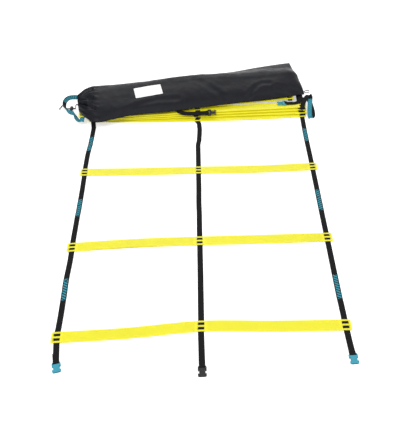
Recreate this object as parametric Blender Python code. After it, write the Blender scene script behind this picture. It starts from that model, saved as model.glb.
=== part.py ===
"""Double agility ladder with its carry bag, half laid out on the floor.

Flat moulded rungs are threaded on three webbing straps.  The three nearest
rungs lie spread out, the rest are pushed together in a fanned stack, and the
drawstring bag lies across that stack.  Metres, +Z up, +Y away from the end
with the buckle sockets.
"""
import math

import bmesh
import bpy
from mathutils import Matrix, Vector

# Webbing, and the three lanes it runs in
STRAP_PITCH = 0.460
STRAP_WIDTH = 0.020
STRAP_THICK = 0.0014
STRAP_CLEAR = 0.0003
BODY_GAP = 0.0003
SIDES = {"left": -1, "centre": 0, "right": 1}

# One moulded rung: a shallow channel with three strap stations
RUNG_BREADTH = 0.040
RUNG_BAR_THICK = 0.0015
RUNG_CORNER_R = 0.005
RUNG_EDGE_ROUND = 0.0007
RUNG_END_WALL = 0.006
RUNG_RIM = 0.0022
RUNG_RIB = 0.0024
RUNG_SKIN = 0.0018
RUNG_PAD = 0.016
BAYS_PER_LANE = 5
SLOT_SIDE_PLAY = 0.002
WINDOW_LEDGE = 0.0005
STATION_BAR = 0.0065
LOWER_BAR_RELIEF = 0.0012
CUT_OVERRUN = 0.002

# Where the laid-out rungs lie, and how their centre lines wander
RUNG_PITCH = 0.3626
RUNG_PLACE_SHARES = (0.0, 1.0135, 2.0505, 3.0)
RUNG_BOW = 0.010
RUNG_BOW_SHARES = (
    (-1.40, -0.60, 1.10, 0.20, -0.20),
    (-0.90, 0.15, 0.20, -0.05, -0.15),
    (1.20, 0.40, 0.0, -0.60, -0.20),
    (0.50, -0.60, -0.95, -0.70, 0.40),
)

# The stack behind: how far each rung is set back, set over and turned
STACK_LAYER_PLAY = 0.0007
STACK_SPREAD = 0.050
STACK_BACK_SHARES = (0.0, 0.18, 0.30, 0.44, 1.0)
STACK_OVER_SHARES = (0.0, 0.08, -0.10, 0.06, -0.92)
STACK_TURN_DEG = (-1.2, -0.2, 0.8, 1.4, 4.5)

# Fold lines across the laid-out webbing
FOLD_PLACE_SHARES = {"near": 0.5433, "middle": 1.5361, "far": 2.5510}

# Strap ends
NEAR_TAIL = {"left": 0.086, "centre": 0.113, "right": 0.087}
TAIL_TURN_DEG = {"left": 12.0, "centre": 1.0, "right": 2.5}
TAIL_BEND_START = 0.028
TAIL_BEND_LENGTH = 0.022
SEWN_FOLD = 0.034
SEWN_FLARE = 0.012
STACK_LEAD = 0.003
FAR_TAIL = {"left": 0.070, "centre": 0.038, "right": 0.038}
LEFT_TAIL_SHARES = ((0.0, 1.0), (0.15, 0.95), (0.26, 0.70), (0.29, 0.32), (0.36, 0.08), (0.45, 0.0))
FAR_TAIL_LEAN_DEG = {"centre": 22.0, "right": 0.0}
FAR_TAIL_HEADING_DEG = {"centre": 90.0, "right": -90.0}

# Side-release buckle for this webbing
BUCKLE_WIDTH = 0.027
BUCKLE_BAR_DEEP = 0.0016
BUCKLE_BAR_TALL = 0.0010
BUCKLE_SLOT = 0.0042
BUCKLE_SLOT_PLAY = 0.001
BUCKLE_EDGE = 0.0009
SOCKET_THICK = 0.0085
SOCKET_BODY = 0.027
SOCKET_CORNER_R = 0.0045
SOCKET_WALL = 0.0019
SOCKET_FLOOR = 0.0055
SOCKET_NOTCH_DEPTH = 0.0042
SOCKET_NOTCH = 0.0115
SOCKET_NOTCH_FROM_MOUTH = 0.0085
PLUG_THICK = 0.0076
PLUG_BASE = 0.0075
PLUG_BASE_CORNER_R = 0.0022
PLUG_REACH = 0.0235
PLUG_BLADE_THICK = 0.0040
PLUG_ARM = 0.0026
PLUG_ARM_OUT = 0.0088
PLUG_BARB = 0.0030
PLUG_BARB_LENGTH = 0.0085
PLUG_TIP = 0.0035
PLUG_TONGUE = 0.0060
PLUG_TONGUE_SHORT = 0.0030

# Carry bag
BAG_CENTRE_X = 0.005
BAG_BEHIND = 0.1362
BAG_TURN_DEG = 8.4
BAG_HALF_WIDTH = 0.130
BAG_FAR_SHARES = (0.962, 0.885, 0.854, 0.969, 0.954, 1.054, 1.100)
BAG_NEAR_SHARES = (1.000, 0.846, 0.900, 0.900, 0.923, 0.946, 0.908)
BAG_CREST_SHARES = (0.231, 0.308, 0.385, 0.369, 0.231, 0.031, 0.015)
BAG_BODY_LEFT = 0.455
BAG_BODY_RIGHT = 0.464
BAG_END_TAPER = 0.060
BAG_CROWN = 0.0446
BAG_CROWN_SHARES = (0.93, 0.93, 0.93, 0.97, 0.93, 1.0, 1.02)
BAG_NOSE = 0.013
BAG_SEAM = 0.0045
BAG_NECK = 0.082
BAG_NECK_ASIDE = 0.012
BAG_NECK_NARROW = 0.64
BAG_NECK_LOW = 0.42
BAG_SEAT_PLAY = 0.0003
BAG_DROP_BEHIND = 0.202
BAG_DROP_RUN = 0.080
BAG_DROP = 0.014
BAG_RING_POINTS = 24

# Bare label, and the small hanging loop at the bag's foot
LABEL_LENGTH = 0.121
LABEL_BREADTH = 0.064
LABEL_THICK = 0.0005
LABEL_GAP = 0.0004
LABEL_U = -0.222
LABEL_V = 0.002
LABEL_TURN_DEG = 3.8
LOOP_TAPE_WIDTH = 0.008
LOOP_TAPE_THICK = 0.0012
LOOP_REACH = 0.020
LOOP_INNER = 0.009
LOOP_V = -0.105

# Drawstring and cord lock
CORD_DIAMETER = 0.003
CORD_STRAND_GAP = 0.001
CORD_LOOP_R = 0.007
LOCK_X = -0.569
LOCK_BEHIND = 0.0902
LOCK_LENGTH = 0.014
LOCK_HEIGHT = 0.013
LOCK_CORNER_R = 0.0052
LOCK_TALL = 0.0180
LOCK_BORE_R = 0.0048
LOCK_BORE_FLOOR = 0.0012
LOCK_CORD_AT = 0.0108
LOCK_SLOT_PLAY = 0.0004
LOCK_LIFT = 0.0003
BUTTON_PLAY = 0.0002
BUTTON_STAND = 0.0050
BUTTON_TRAVEL = 0.0025
BUTTON_FOOT = 0.0012
SPRING_R = 0.0034
SPRING_WIRE = 0.0005
SPRING_TURNS = 4

# Sizes that follow from those above
SLOT_WIDTH = STRAP_WIDTH + SLOT_SIDE_PLAY * 2
TUNNEL = STRAP_THICK + STRAP_CLEAR * 2
RUNG_THICK = RUNG_BAR_THICK * 2 + TUNNEL
TUNNEL_MID = RUNG_THICK / 2
RUNG_HALF = STRAP_PITCH + SLOT_WIDTH / 2 + RUNG_END_WALL
WINDOW = (RUNG_BREADTH - STATION_BAR * 3) / 2
STACK_STEP = RUNG_THICK + STRAP_THICK + STACK_LAYER_PLAY
FOLD_R = STACK_STEP / 4
RUNG_Y = tuple(RUNG_PITCH * share for share in RUNG_PLACE_SHARES)
FOLD_Y = {name: RUNG_PITCH * share for name, share in FOLD_PLACE_SHARES.items()}
STACK_Y = RUNG_Y[3]
BAG_CENTRE_Y = STACK_Y + BAG_BEHIND
LOCK_Y = STACK_Y + LOCK_BEHIND
SPAN = STACK_Y / 3
STACK_TOP = STACK_STEP * 4 + TUNNEL_MID + FOLD_R * 2 + STRAP_THICK / 2
CORD_LIE_Z = LOCK_LIFT + LOCK_HEIGHT / 2
EYE_R = math.hypot(BUCKLE_BAR_DEEP, BUCKLE_BAR_TALL) + STRAP_CLEAR + STRAP_THICK / 2


def clear_scene():
    for ob in list(bpy.data.objects):
        bpy.data.objects.remove(ob, do_unlink=True)


def finish_material(name, colour, roughness, metallic=0.0):
    material = bpy.data.materials.new(name)
    material.use_nodes = True
    shader = material.node_tree.nodes["Principled BSDF"]
    shader.inputs["Base Color"].default_value = (*colour, 1.0)
    shader.inputs["Roughness"].default_value = roughness
    shader.inputs["Metallic"].default_value = metallic
    return material


def add_object(name, mesh, material, parent, smooth_deg=35.0):
    mesh.name = name
    mesh.materials.clear()
    mesh.materials.append(material)
    mesh.shade_smooth()
    mesh.set_sharp_from_angle(angle=math.radians(smooth_deg))
    ob = bpy.data.objects.new(name, mesh)
    ob.parent = parent
    bpy.context.scene.collection.objects.link(ob)
    return ob


def mesh_from(bm):
    bmesh.ops.recalc_face_normals(bm, faces=bm.faces)
    mesh = bpy.data.meshes.new("shape")
    bm.to_mesh(mesh)
    bm.free()
    return mesh


def box_mesh(boxes):
    """Closed boxes, each given by its low and high corner."""
    bm = bmesh.new()
    for low, high in boxes:
        size = Vector(high) - Vector(low)
        place = Matrix.Translation((Vector(low) + Vector(high)) / 2) @ Matrix.Diagonal((*size, 1.0))
        bmesh.ops.create_cube(bm, size=1.0, matrix=place)
    return mesh_from(bm)


def plate_bmesh(outline, low_z, high_z):
    """A flat plate between two heights, from its outline."""
    bm = bmesh.new()
    face = bm.faces.new([bm.verts.new((x, y, low_z)) for x, y in outline])
    grown = bmesh.ops.extrude_face_region(bm, geom=[face])
    top = [v for v in grown["geom"] if isinstance(v, bmesh.types.BMVert)]
    bmesh.ops.translate(bm, verts=top, vec=(0, 0, high_z - low_z))
    bmesh.ops.recalc_face_normals(bm, faces=bm.faces)
    return bm


def round_level_edges(bm, amount, heights):
    """Rounds the outer edges of the faces that lie level at the given heights."""
    edges = []
    for edge in bm.edges:
        for z in heights:
            if all(abs(v.co.z - z) < amount / 100 for v in edge.verts) and len(edge.link_faces) == 2:
                if any(abs(f.normal.z) < 0.5 for f in edge.link_faces):
                    edges.append(edge)
    bmesh.ops.bevel(bm, geom=edges, offset=amount, segments=1, profile=0.5, affect="EDGES", material=-1)


def rounded_outline(low, high, radius, steps=4):
    """Corner-rounded rectangle, anticlockwise from its low right corner."""
    points = []
    corners = ((high[0], low[1], -90), (high[0], high[1], 0), (low[0], high[1], 90), (low[0], low[1], 180))
    for x, y, start in corners:
        cx = x - math.copysign(radius, x - (low[0] + high[0]) / 2)
        cy = y - math.copysign(radius, y - (low[1] + high[1]) / 2)
        for step in range(steps + 1):
            turn = math.radians(start + 90 * step / steps)
            points.append((cx + radius * math.cos(turn), cy + radius * math.sin(turn)))
    return points


def carve(mesh, cutters, operation="DIFFERENCE"):
    """The mesh after a Boolean with each of the other meshes in turn."""
    ob = bpy.data.objects.new("blank", mesh)
    bpy.context.scene.collection.objects.link(ob)
    tools = []
    for cutter in cutters:
        tool = bpy.data.objects.new("cutter", cutter)
        bpy.context.scene.collection.objects.link(tool)
        tool.hide_render = True
        tool.display_type = "WIRE"
        tools.append(tool)
        step = ob.modifiers.new("carve", "BOOLEAN")
        step.operation = operation
        step.solver = "EXACT"
        step.object = tool
    bpy.context.view_layer.update()
    evaluated = ob.evaluated_get(bpy.context.evaluated_depsgraph_get())
    result = bpy.data.meshes.new_from_object(evaluated)
    for old in tools + [ob]:
        bpy.data.objects.remove(old, do_unlink=True)
    return result


def rung_blank():
    """One straight rung: outline, underside bays and three strap stations."""
    stops = [-RUNG_HALF + RUNG_CORNER_R + (RUNG_HALF - RUNG_CORNER_R) * n / 8 for n in range(17)]
    half = RUNG_BREADTH / 2
    outline = rounded_outline((-RUNG_HALF, -half), (RUNG_HALF, half), RUNG_CORNER_R)
    corner = len(outline) // 4
    front = [(x, -half) for x in stops[1:-1]]
    back = [(x, half) for x in reversed(stops[1:-1])]
    outline = outline[:corner * 2] + back + outline[corner * 2:] + front
    bm = plate_bmesh(outline, 0, RUNG_THICK)
    round_level_edges(bm, RUNG_EDGE_ROUND, (RUNG_THICK,))
    blank = mesh_from(bm)

    over = half + CUT_OVERRUN
    low_cut = -CUT_OVERRUN
    top_cut = RUNG_THICK + CUT_OVERRUN
    tunnels, windows, undercuts, bays = [], [], [], []
    for side in SIDES.values():
        x = side * STRAP_PITCH
        wide = SLOT_WIDTH / 2
        slim = wide - WINDOW_LEDGE
        tunnels.append(((x - wide, -over, RUNG_BAR_THICK), (x + wide, over, RUNG_THICK - RUNG_BAR_THICK)))
        bars = [-half - CUT_OVERRUN]
        for step in (-1, 1):
            centre = step * (STATION_BAR + WINDOW) / 2
            open_half = WINDOW / 2
            near, far = centre - open_half, centre + open_half
            windows.append(((x - slim, near, TUNNEL_MID), (x + slim, far, top_cut)))
            lower = open_half - LOWER_BAR_RELIEF
            bars += [centre - lower, centre + lower]
        bars.append(half + CUT_OVERRUN)
        for low, high in zip(bars[0::2], bars[1::2]):
            undercuts.append(((x - slim, low, low_cut), (x + slim, high, TUNNEL_MID)))
    inner = half - RUNG_RIM
    lane = STRAP_PITCH - SLOT_WIDTH - RUNG_PAD
    bay = (lane + RUNG_RIB) / BAYS_PER_LANE
    for start in (-STRAP_PITCH, 0):
        first = start + (SLOT_WIDTH + RUNG_PAD) / 2
        for n in range(BAYS_PER_LANE):
            low = first + n * bay
            bays.append(((low, -inner, low_cut), (low + bay - RUNG_RIB, inner, RUNG_THICK - RUNG_SKIN)))
    return carve(blank, [box_mesh(boxes) for boxes in (tunnels, windows, undercuts, bays)])


def through(a, b, c, d, t):
    """Catmull-Rom value between b and c."""
    return (b * 2 + (c - a) * t + (a * 2 - b * 5 + c * 4 - d) * t ** 2 + (b * 3 - a - c * 3 + d) * t ** 3) / 2


def bow_at(shares, x):
    """Plan offset of a wandering centre line, smooth through five even stations."""
    place = (x / RUNG_HALF + 1) * 2
    n = min(max(int(place), 0), 3)
    t = place - n
    ext = (shares[0] * 2 - shares[1],) + tuple(shares) + (shares[4] * 2 - shares[3],)
    return through(*ext[n:n + 4], t) * RUNG_BOW


def make_rungs(root, material):
    blank = rung_blank()
    for number in range(1, 9):
        mesh = blank.copy()
        if number <= len(RUNG_BOW_SHARES):
            for vert in mesh.vertices:
                vert.co.y += bow_at(RUNG_BOW_SHARES[number - 1], vert.co.x)
        rung = add_object(f"rung_{number}", mesh, material, root)
        if number < 4:
            rung.location = (0, RUNG_Y[number - 1], 0)
        else:
            rung.location = stack_place(number)
            rung.rotation_euler = (0, 0, math.radians(STACK_TURN_DEG[number - 4]))
    bpy.data.meshes.remove(blank)


def stack_place(number):
    """Middle of a stacked rung's underside."""
    layer = number - 4
    over = STACK_OVER_SHARES[layer] * STACK_SPREAD
    back = STACK_BACK_SHARES[layer] * STACK_SPREAD
    return Vector((over, STACK_Y + back, layer * STACK_STEP))


def stack_station(number, side):
    """Middle of a stacked rung's tunnel on one strap, and its two mouths."""
    turn = math.radians(STACK_TURN_DEG[number - 4])
    along = Vector((math.cos(turn), math.sin(turn), 0))
    outward = Vector((-along.y, along.x, 0))
    middle = stack_place(number) + along * SIDES[side] * STRAP_PITCH
    middle.z += TUNNEL_MID
    if number <= len(RUNG_BOW_SHARES):
        middle += outward * bow_at(RUNG_BOW_SHARES[number - 1], SIDES[side] * STRAP_PITCH)
    out = outward * (RUNG_BREADTH / 2 + STACK_LEAD)
    return middle, middle - out, middle + out


def half_turn(x, y, z, facing, steps=6):
    """Points of a fold that climbs two fold radii, bulging to one side in Y."""
    points = []
    for step in range(steps + 1):
        turn = math.pi * step / steps
        points.append(Vector((x, y + facing * FOLD_R * math.sin(turn), z + FOLD_R * (1 - math.cos(turn)))))
    return points


def folded_span(here, there):
    """Webbing of one span folded flat: back, forward over the rung, and in again."""
    front = there[1].y - FOLD_R
    back = (SPAN + here[0].y + front * 2 - there[0].y) / 2
    middle = (here[0].x + there[0].x) / 2
    level = here[0].z
    points = [here[2]] + half_turn(middle, back, level, 1)
    points += half_turn(there[1].x, front, level + FOLD_R * 2, -1)
    return points + [there[1]]


def smooth_route(knots, steps):
    """Catmull-Rom points and across vectors through hand-set knots."""
    points = [Vector(k[0]) for k in knots]
    across = [Vector(k[1]) for k in knots]
    out = []
    for n in range(len(knots) - 1):
        rows = []
        for values in (points, across):
            a = values[max(n - 1, 0)]
            b = values[n]
            c = values[n + 1]
            d = values[min(n + 2, len(values) - 1)]
            rows.append((a, b, c, d))
        for step in range(steps):
            out.append(tuple(through(*row, step / steps) for row in rows))
    out.append((points[-1], across[-1]))
    return out


def ribbon_mesh(stations, thick):
    """Webbing swept through stations of a point and its across vector."""
    bm = bmesh.new()
    rings = []
    count = len(stations)
    for n, (point, across) in enumerate(stations):
        before = stations[max(n - 1, 0)][0]
        after = stations[min(n + 1, count - 1)][0]
        ahead = ((point - before).normalized() + (after - point).normalized()).normalized()
        wide = across / 2
        up = ahead.cross(wide).normalized() * thick / 2
        ring = (wide + up, up - wide, -wide - up, wide - up)
        rings.append([bm.verts.new(point + corner) for corner in ring])
    for ring, following in zip(rings, rings[1:]):
        for a, b in ((0, 1), (3, 2)):
            bm.faces.new((ring[a], ring[b], following[b]))
            bm.faces.new((ring[a], following[b], following[a]))
        for a, b in ((1, 2), (3, 0)):
            bm.faces.new((ring[a], ring[b], following[b], following[a]))
    bm.faces.new(rings[0])
    bm.faces.new(reversed(rings[-1]))
    return mesh_from(bm)


def flat(points):
    """Stations of webbing that keeps its width along X."""
    return [(Vector(p), Vector((STRAP_WIDTH, 0, 0))) for p in points]


def tail_frame(side):
    """Pivot and turn of the strap end, which swings a little in plan."""
    pivot = Vector((SIDES[side] * STRAP_PITCH, -RUNG_BREADTH / 2 - TAIL_BEND_START, 0))
    return pivot, math.radians(TAIL_TURN_DEG[side])


def tail_place(side, point):
    """Moves a strap-end point from the straight strap to the swung one."""
    pivot, turn = tail_frame(side)
    share = min(max((pivot.y - point.y) / TAIL_BEND_LENGTH, 0), 1)
    angle = turn * share
    arm = point - pivot
    arm.z = 0
    moved = Matrix.Rotation(angle, 4, "Z") @ arm + pivot
    moved.z = point.z
    return moved, angle


def eye_route(bar_y, bar_z, lie_z, fold_end, steps=10):
    """Webbing led to a buckle bar, round it and back on itself, in Y and Z."""
    enter = bar_y + SEWN_FLARE
    points = [(enter, lie_z), (bar_y, bar_z - EYE_R)]
    for step in range(1, steps + 1):
        turn = math.pi * step / steps
        points.append((bar_y - EYE_R * math.sin(turn), bar_z - EYE_R * math.cos(turn)))
    upper = lie_z + STRAP_THICK + STRAP_CLEAR
    points += [(enter, upper), (enter + fold_end, upper)]
    return points


def near_strap(side, root, material):
    """First length of webbing: fold line, nearest rung, and the sewn eye."""
    x = SIDES[side] * STRAP_PITCH
    bar_y = -RUNG_BREADTH / 2 - NEAR_TAIL[side]
    route = [(FOLD_Y["near"] - BODY_GAP / 2, TUNNEL_MID), (-RUNG_BREADTH / 2, TUNNEL_MID)]
    bend_y = -RUNG_BREADTH / 2 - TAIL_BEND_START
    route += [(bend_y - TAIL_BEND_LENGTH * n / 4, TUNNEL_MID) for n in range(5)]
    route += eye_route(bar_y, SOCKET_THICK / 2, TUNNEL_MID, SEWN_FOLD - SEWN_FLARE)
    stations = []
    for y, z in route:
        point, angle = tail_place(side, Vector((x, y, z)))
        stations.append((point, Vector((math.cos(angle), math.sin(angle), 0)) * STRAP_WIDTH))
    return add_object(f"strap_{side}_1", ribbon_mesh(stations, STRAP_THICK), material, root)


def plain_strap(side, number, low, high, root, material):
    x = SIDES[side] * STRAP_PITCH
    route = [(x, low + BODY_GAP / 2, TUNNEL_MID), (x, high - BODY_GAP / 2, TUNNEL_MID)]
    return add_object(f"strap_{side}_{number}", ribbon_mesh(flat(route), STRAP_THICK), material, root)


# Loose span at the left: it turns on edge, rounds a wide ring on the floor and
# comes forward under the top rung's end to curl up into its mouth.  Shares of
# reach, depth and width, and the way the webbing's width points.
LOOSE_REACH = 0.150
LOOSE_DEPTH = 0.140
LEFT_LOOP_SHARES = (
    ((0.014, 0.332, 1.200), (1.00, 0.00, 0.00)),
    ((0.048, 0.546, 1.225), (1.00, 0.10, 0.00)),
    ((0.128, 0.746, 1.310), (0.90, 0.35, 0.00)),
    ((0.268, 0.925, 1.125), (0.60, 0.30, -0.60)),
    ((0.421, 1.039, 0.800), (0.20, -0.20, -0.90)),
    ((0.588, 1.114, 0.590), (0.00, -0.45, -0.89)),
    ((0.754, 1.146, 0.540), (0.10, -0.45, -0.89)),
    ((0.908, 1.110, 0.520), (0.45, -0.35, -0.82)),
    ((1.001, 0.967, 0.470), (0.65, -0.15, -0.75)),
    ((1.011, 0.789, 0.450), (0.68, 0.00, -0.73)),
    ((0.974, 0.625, 0.470), (0.60, 0.05, -0.80)),
    ((0.901, 0.467, 0.520), (0.30, -0.10, -0.95)),
    ((0.781, 0.353, 0.530), (0.05, -0.35, -0.94)),
    ((0.674, 0.253, 0.550), (0.15, -0.40, -0.88)),
    ((0.594, 0.125, 0.625), (0.45, -0.20, -0.85)),
    ((0.534, -0.011, 0.700), (0.75, 0.05, -0.60)),
    ((0.468, -0.133, 0.775), (0.95, 0.15, -0.30)),
    ((0.388, -0.218, 0.875), (1.00, 0.10, -0.10)),
    ((0.334, -0.258, 1.075), (1.00, 0.00, 0.00)),
    ((0.320, -0.258, 1.310), (1.00, 0.00, 0.00)),
    ((0.314, -0.218, 1.490), (1.00, 0.00, 0.00)),
)

# Loose span at the right: back and down to the floor beside the rung ends,
# forward along it, then doubled back up as a rising band that turns over on top.
RIGHT_LOOP_SHARES = (
    ((0.020, 0.306, 0.830), (1.00, 0.00, 0.00)),
    ((0.100, 0.448, 0.800), (1.00, 0.00, 0.00)),
    ((0.207, 0.548, 0.650), (1.00, 0.00, 0.00)),
    ((0.280, 0.577, 0.400), (1.00, 0.00, 0.00)),
    ((0.327, 0.520, 0.175), (1.00, 0.00, 0.00)),
    ((0.354, 0.398, 0.080), (1.00, 0.00, 0.00)),
    ((0.367, 0.220, 0.060), (1.00, 0.00, 0.00)),
    ((0.374, 0.006, 0.060), (1.00, 0.00, 0.00)),
    ((0.367, -0.194, 0.060), (1.00, 0.00, 0.00)),
    ((0.334, -0.337, 0.070), (1.00, 0.00, 0.00)),
    ((0.287, -0.405, 0.175), (1.00, 0.00, 0.00)),
    ((0.254, -0.398, 0.375), (1.00, 0.00, 0.00)),
    ((0.250, -0.309, 0.550), (1.00, 0.00, 0.00)),
    ((0.264, -0.137, 0.925), (1.00, 0.00, 0.00)),
    ((0.290, 0.056, 1.375), (1.00, 0.00, 0.00)),
    ((0.320, 0.241, 1.725), (1.00, 0.00, 0.00)),
    ((0.334, 0.348, 1.925), (1.00, 0.00, 0.00)),
    ((0.300, 0.384, 2.125), (1.00, 0.00, 0.00)),
    ((0.234, 0.313, 2.200), (1.00, 0.00, 0.00)),
    ((0.154, 0.184, 2.000), (1.00, 0.00, 0.00)),
    ((0.087, 0.041, 1.750), (1.00, 0.00, 0.00)),
    ((0.057, -0.080, 1.600), (1.00, 0.00, 0.00)),
    ((0.053, -0.148, 1.525), (1.00, 0.00, 0.00)),
    ((0.053, -0.169, 1.360), (1.00, 0.00, 0.00)),
    ((0.053, -0.148, 1.210), (1.00, 0.00, 0.00)),
)

# Far ends of the middle and right straps: each wanders off the top rung and
# comes to lie along the rungs, its buckle plug pointing sideways.
CENTRE_TAIL_SHARES = (
    ((-0.027, 0.259, 1.545), (1.00, 0.00, 0.00)),
    ((-0.033, 0.284, 1.635), (1.00, 0.00, 0.00)),
    ((-0.040, 0.259, 1.723), (1.00, 0.00, 0.00)),
    ((-0.113, 0.087, 1.723), (1.00, 0.00, 0.00)),
    ((-0.220, -0.070, 1.723), (0.95, 0.30, 0.00)),
    ((-0.283, -0.199, 1.723), (0.70, 0.70, 0.00)),
    ((-0.227, -0.302, 1.625), (0.35, 0.92, 0.20)),
    ((-0.107, -0.366, 1.425), (0.05, 0.93, 0.36)),
    ((0.040, -0.386, 1.310), (0.00, 0.93, 0.38)),
    ((0.227, -0.387, 1.285), (0.00, 0.93, 0.38)),
)
CENTRE_TAIL_END_SHARES = (0.373, -0.386, 1.285)
RIGHT_TAIL_SHARES = (
    ((0.011, 0.251, 1.555), (0.90, -0.43, 0.00)),
    ((0.086, 0.329, 1.565), (0.50, -0.87, 0.00)),
    ((0.186, 0.354, 1.565), (0.00, -1.00, 0.00)),
    ((0.273, 0.301, 1.565), (-0.50, -0.87, 0.00)),
    ((0.326, 0.179, 1.555), (-0.87, -0.50, 0.00)),
    ((0.336, 0.029, 1.525), (-1.00, 0.00, 0.00)),
    ((0.323, -0.114, 1.485), (-1.00, 0.10, 0.00)),
    ((0.283, -0.221, 1.435), (-0.85, 0.52, 0.00)),
    ((0.209, -0.301, 1.400), (-0.45, 0.90, 0.00)),
)
RIGHT_TAIL_END_SHARES = (0.116, -0.328, 1.385)


def loose_knots(base, out, shares):
    """Hand-set knots round a base point: places, and across vectors."""
    knots = []
    for place_shares, turn in shares:
        place = loose_place(base, out, place_shares)
        knots.append((place, Vector(turn).normalized() * STRAP_WIDTH))
    return knots


def loose_place(base, out, shares):
    share_out, share_back, share_up = shares
    place = base + Vector((out * LOOSE_REACH * share_out, LOOSE_DEPTH * share_back, 0))
    place.z = STRAP_WIDTH * share_up
    return place


def full_width(stations):
    return [(p, a.normalized() * STRAP_WIDTH) for p, a in stations]


def loose_span(here, there, side):
    """A span that strays outside the stack, on smooth knots."""
    shares = LEFT_LOOP_SHARES if side == "left" else RIGHT_LOOP_SHARES
    flat_way = Vector((STRAP_WIDTH, 0, 0))
    knots = [(here[2], flat_way)] + loose_knots(here[0], SIDES[side], shares) + [(there[1], flat_way)]
    return full_width(smooth_route(knots, 3))


def tail_turn(side):
    """How a far end's buckle plug lies: its heading in plan, leant to the front."""
    lean = Matrix.Rotation(math.radians(FAR_TAIL_LEAN_DEG[side]), 3, "X")
    return lean @ Matrix.Rotation(math.radians(FAR_TAIL_HEADING_DEG[side]), 3, "Z")


def tail_stations(side):
    """The far end: out of the top rung and round the bar of its buckle plug."""
    top = stack_station(8, side)
    mid = PLUG_THICK / 2
    if side == "left":
        x = top[2].x
        start = top[2].y
        bar_y = start + FAR_TAIL[side]
        fall = top[2].z - TUNNEL_MID
        points = [(start + FAR_TAIL[side] * back, TUNNEL_MID + fall * up) for back, up in LEFT_TAIL_SHARES]
        route = eye_route(-bar_y, mid, TUNNEL_MID, SEWN_FOLD - SEWN_FLARE)
        points += [(-y, z) for y, z in route]
        return flat([(x, y, z) for y, z in points]), Vector((x, bar_y, mid)), (0, 0, math.pi)
    shares, last, way = CENTRE_TAIL_SHARES, CENTRE_TAIL_END_SHARES, 1
    if side == "right":
        shares, last, way = RIGHT_TAIL_SHARES, RIGHT_TAIL_END_SHARES, -1
    turn = tail_turn(side)
    across = turn @ Vector((STRAP_WIDTH * way, 0, 0))
    pivot = loose_place(top[0], 1, last)
    knots = [(top[2], Vector((STRAP_WIDTH, 0, 0)))] + loose_knots(top[0], 1, shares) + [(pivot, across)]
    bar_z = mid - STRAP_THICK / 2
    route = eye_route(-FAR_TAIL[side], bar_z, 0.0, SEWN_FOLD - SEWN_FLARE)
    end = [(pivot + turn @ Vector((0, y, z)), across) for y, z in route]
    stations = full_width(smooth_route(knots, 3)) + end
    return stations, pivot + turn @ Vector((0, -FAR_TAIL[side], bar_z)), turn.to_euler()


def stack_strap(side, root, material):
    """The rest of one strap: from the far fold line through the whole stack."""
    x = SIDES[side] * STRAP_PITCH
    stations = flat([(x, FOLD_Y["far"] + BODY_GAP / 2, TUNNEL_MID), stack_station(4, side)[1]])
    for number in range(4, 8):
        here = stack_station(number, side)
        there = stack_station(number + 1, side)
        if (side, number) in (("left", 7), ("right", 6)):
            stations += loose_span(here, there, side)
        else:
            stations += flat(folded_span(here, there))
    stations += tail_stations(side)[0]
    return add_object(f"strap_{side}_stack", ribbon_mesh(stations, STRAP_THICK), material, root)


def buckle_eye_cutters(thick):
    """The webbing slot, and the reliefs that thin its bar, at a buckle's end."""
    half = STRAP_WIDTH / 2 + BUCKLE_SLOT_PLAY
    slot = box_mesh([((-half, -BUCKLE_BAR_DEEP - BUCKLE_SLOT, -thick), (half, -BUCKLE_BAR_DEEP, thick))])
    high = BUCKLE_BAR_TALL
    slim = half - WINDOW_LEDGE
    over = BUCKLE_BAR_DEEP + CUT_OVERRUN
    reliefs = [((-slim, -over, high), (slim, over, thick)), ((-slim, -over, -thick), (slim, over, -high))]
    return [slot, box_mesh(reliefs)]


def socket_mesh():
    """Female half: closed shell with a mouth, side windows and a webbing bar."""
    half = BUCKLE_WIDTH / 2
    front = -BUCKLE_BAR_DEEP - BUCKLE_SLOT - SOCKET_BODY
    outline = rounded_outline((-half, front), (half, BUCKLE_BAR_DEEP), SOCKET_CORNER_R)
    bm = plate_bmesh(outline, -SOCKET_THICK / 2, SOCKET_THICK / 2)
    round_level_edges(bm, BUCKLE_EDGE, (-SOCKET_THICK / 2, SOCKET_THICK / 2))
    shell = mesh_from(bm)
    inner = half - SOCKET_WALL * 1.8
    cave = SOCKET_THICK / 2 - SOCKET_WALL
    deep = front + SOCKET_BODY - SOCKET_FLOOR
    mouth = box_mesh([((-inner, front - CUT_OVERRUN, -cave), (inner, deep, cave))])
    low = front + SOCKET_NOTCH_FROM_MOUTH
    sides = []
    for side in (-1, 1):
        near = side * (half - SOCKET_NOTCH_DEPTH)
        far = side * (half + CUT_OVERRUN)
        edge = sorted((near, far))
        sides.append(((edge[0], low, -SOCKET_THICK), (edge[1], low + SOCKET_NOTCH, SOCKET_THICK)))
    return carve(shell, buckle_eye_cutters(SOCKET_THICK) + [mouth, box_mesh(sides)])


def arm_outline(side):
    """One spring arm of the male half: slim stem, barb and pointed tip."""
    base = -BUCKLE_BAR_DEEP - BUCKLE_SLOT - PLUG_BASE / 2
    tip = -BUCKLE_BAR_DEEP - BUCKLE_SLOT - PLUG_BASE - PLUG_REACH
    inside = PLUG_ARM_OUT - PLUG_ARM
    barb_y = tip + PLUG_BARB_LENGTH
    points = [
        (inside, base), (inside, tip + PLUG_TIP), (inside + PLUG_ARM / 2, tip),
        (PLUG_ARM_OUT, tip), (PLUG_ARM_OUT + PLUG_BARB, barb_y), (PLUG_ARM_OUT, barb_y + PLUG_ARM / 2),
        (PLUG_ARM_OUT, base),
    ]
    return [(side * x, y) for x, y in points]


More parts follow.
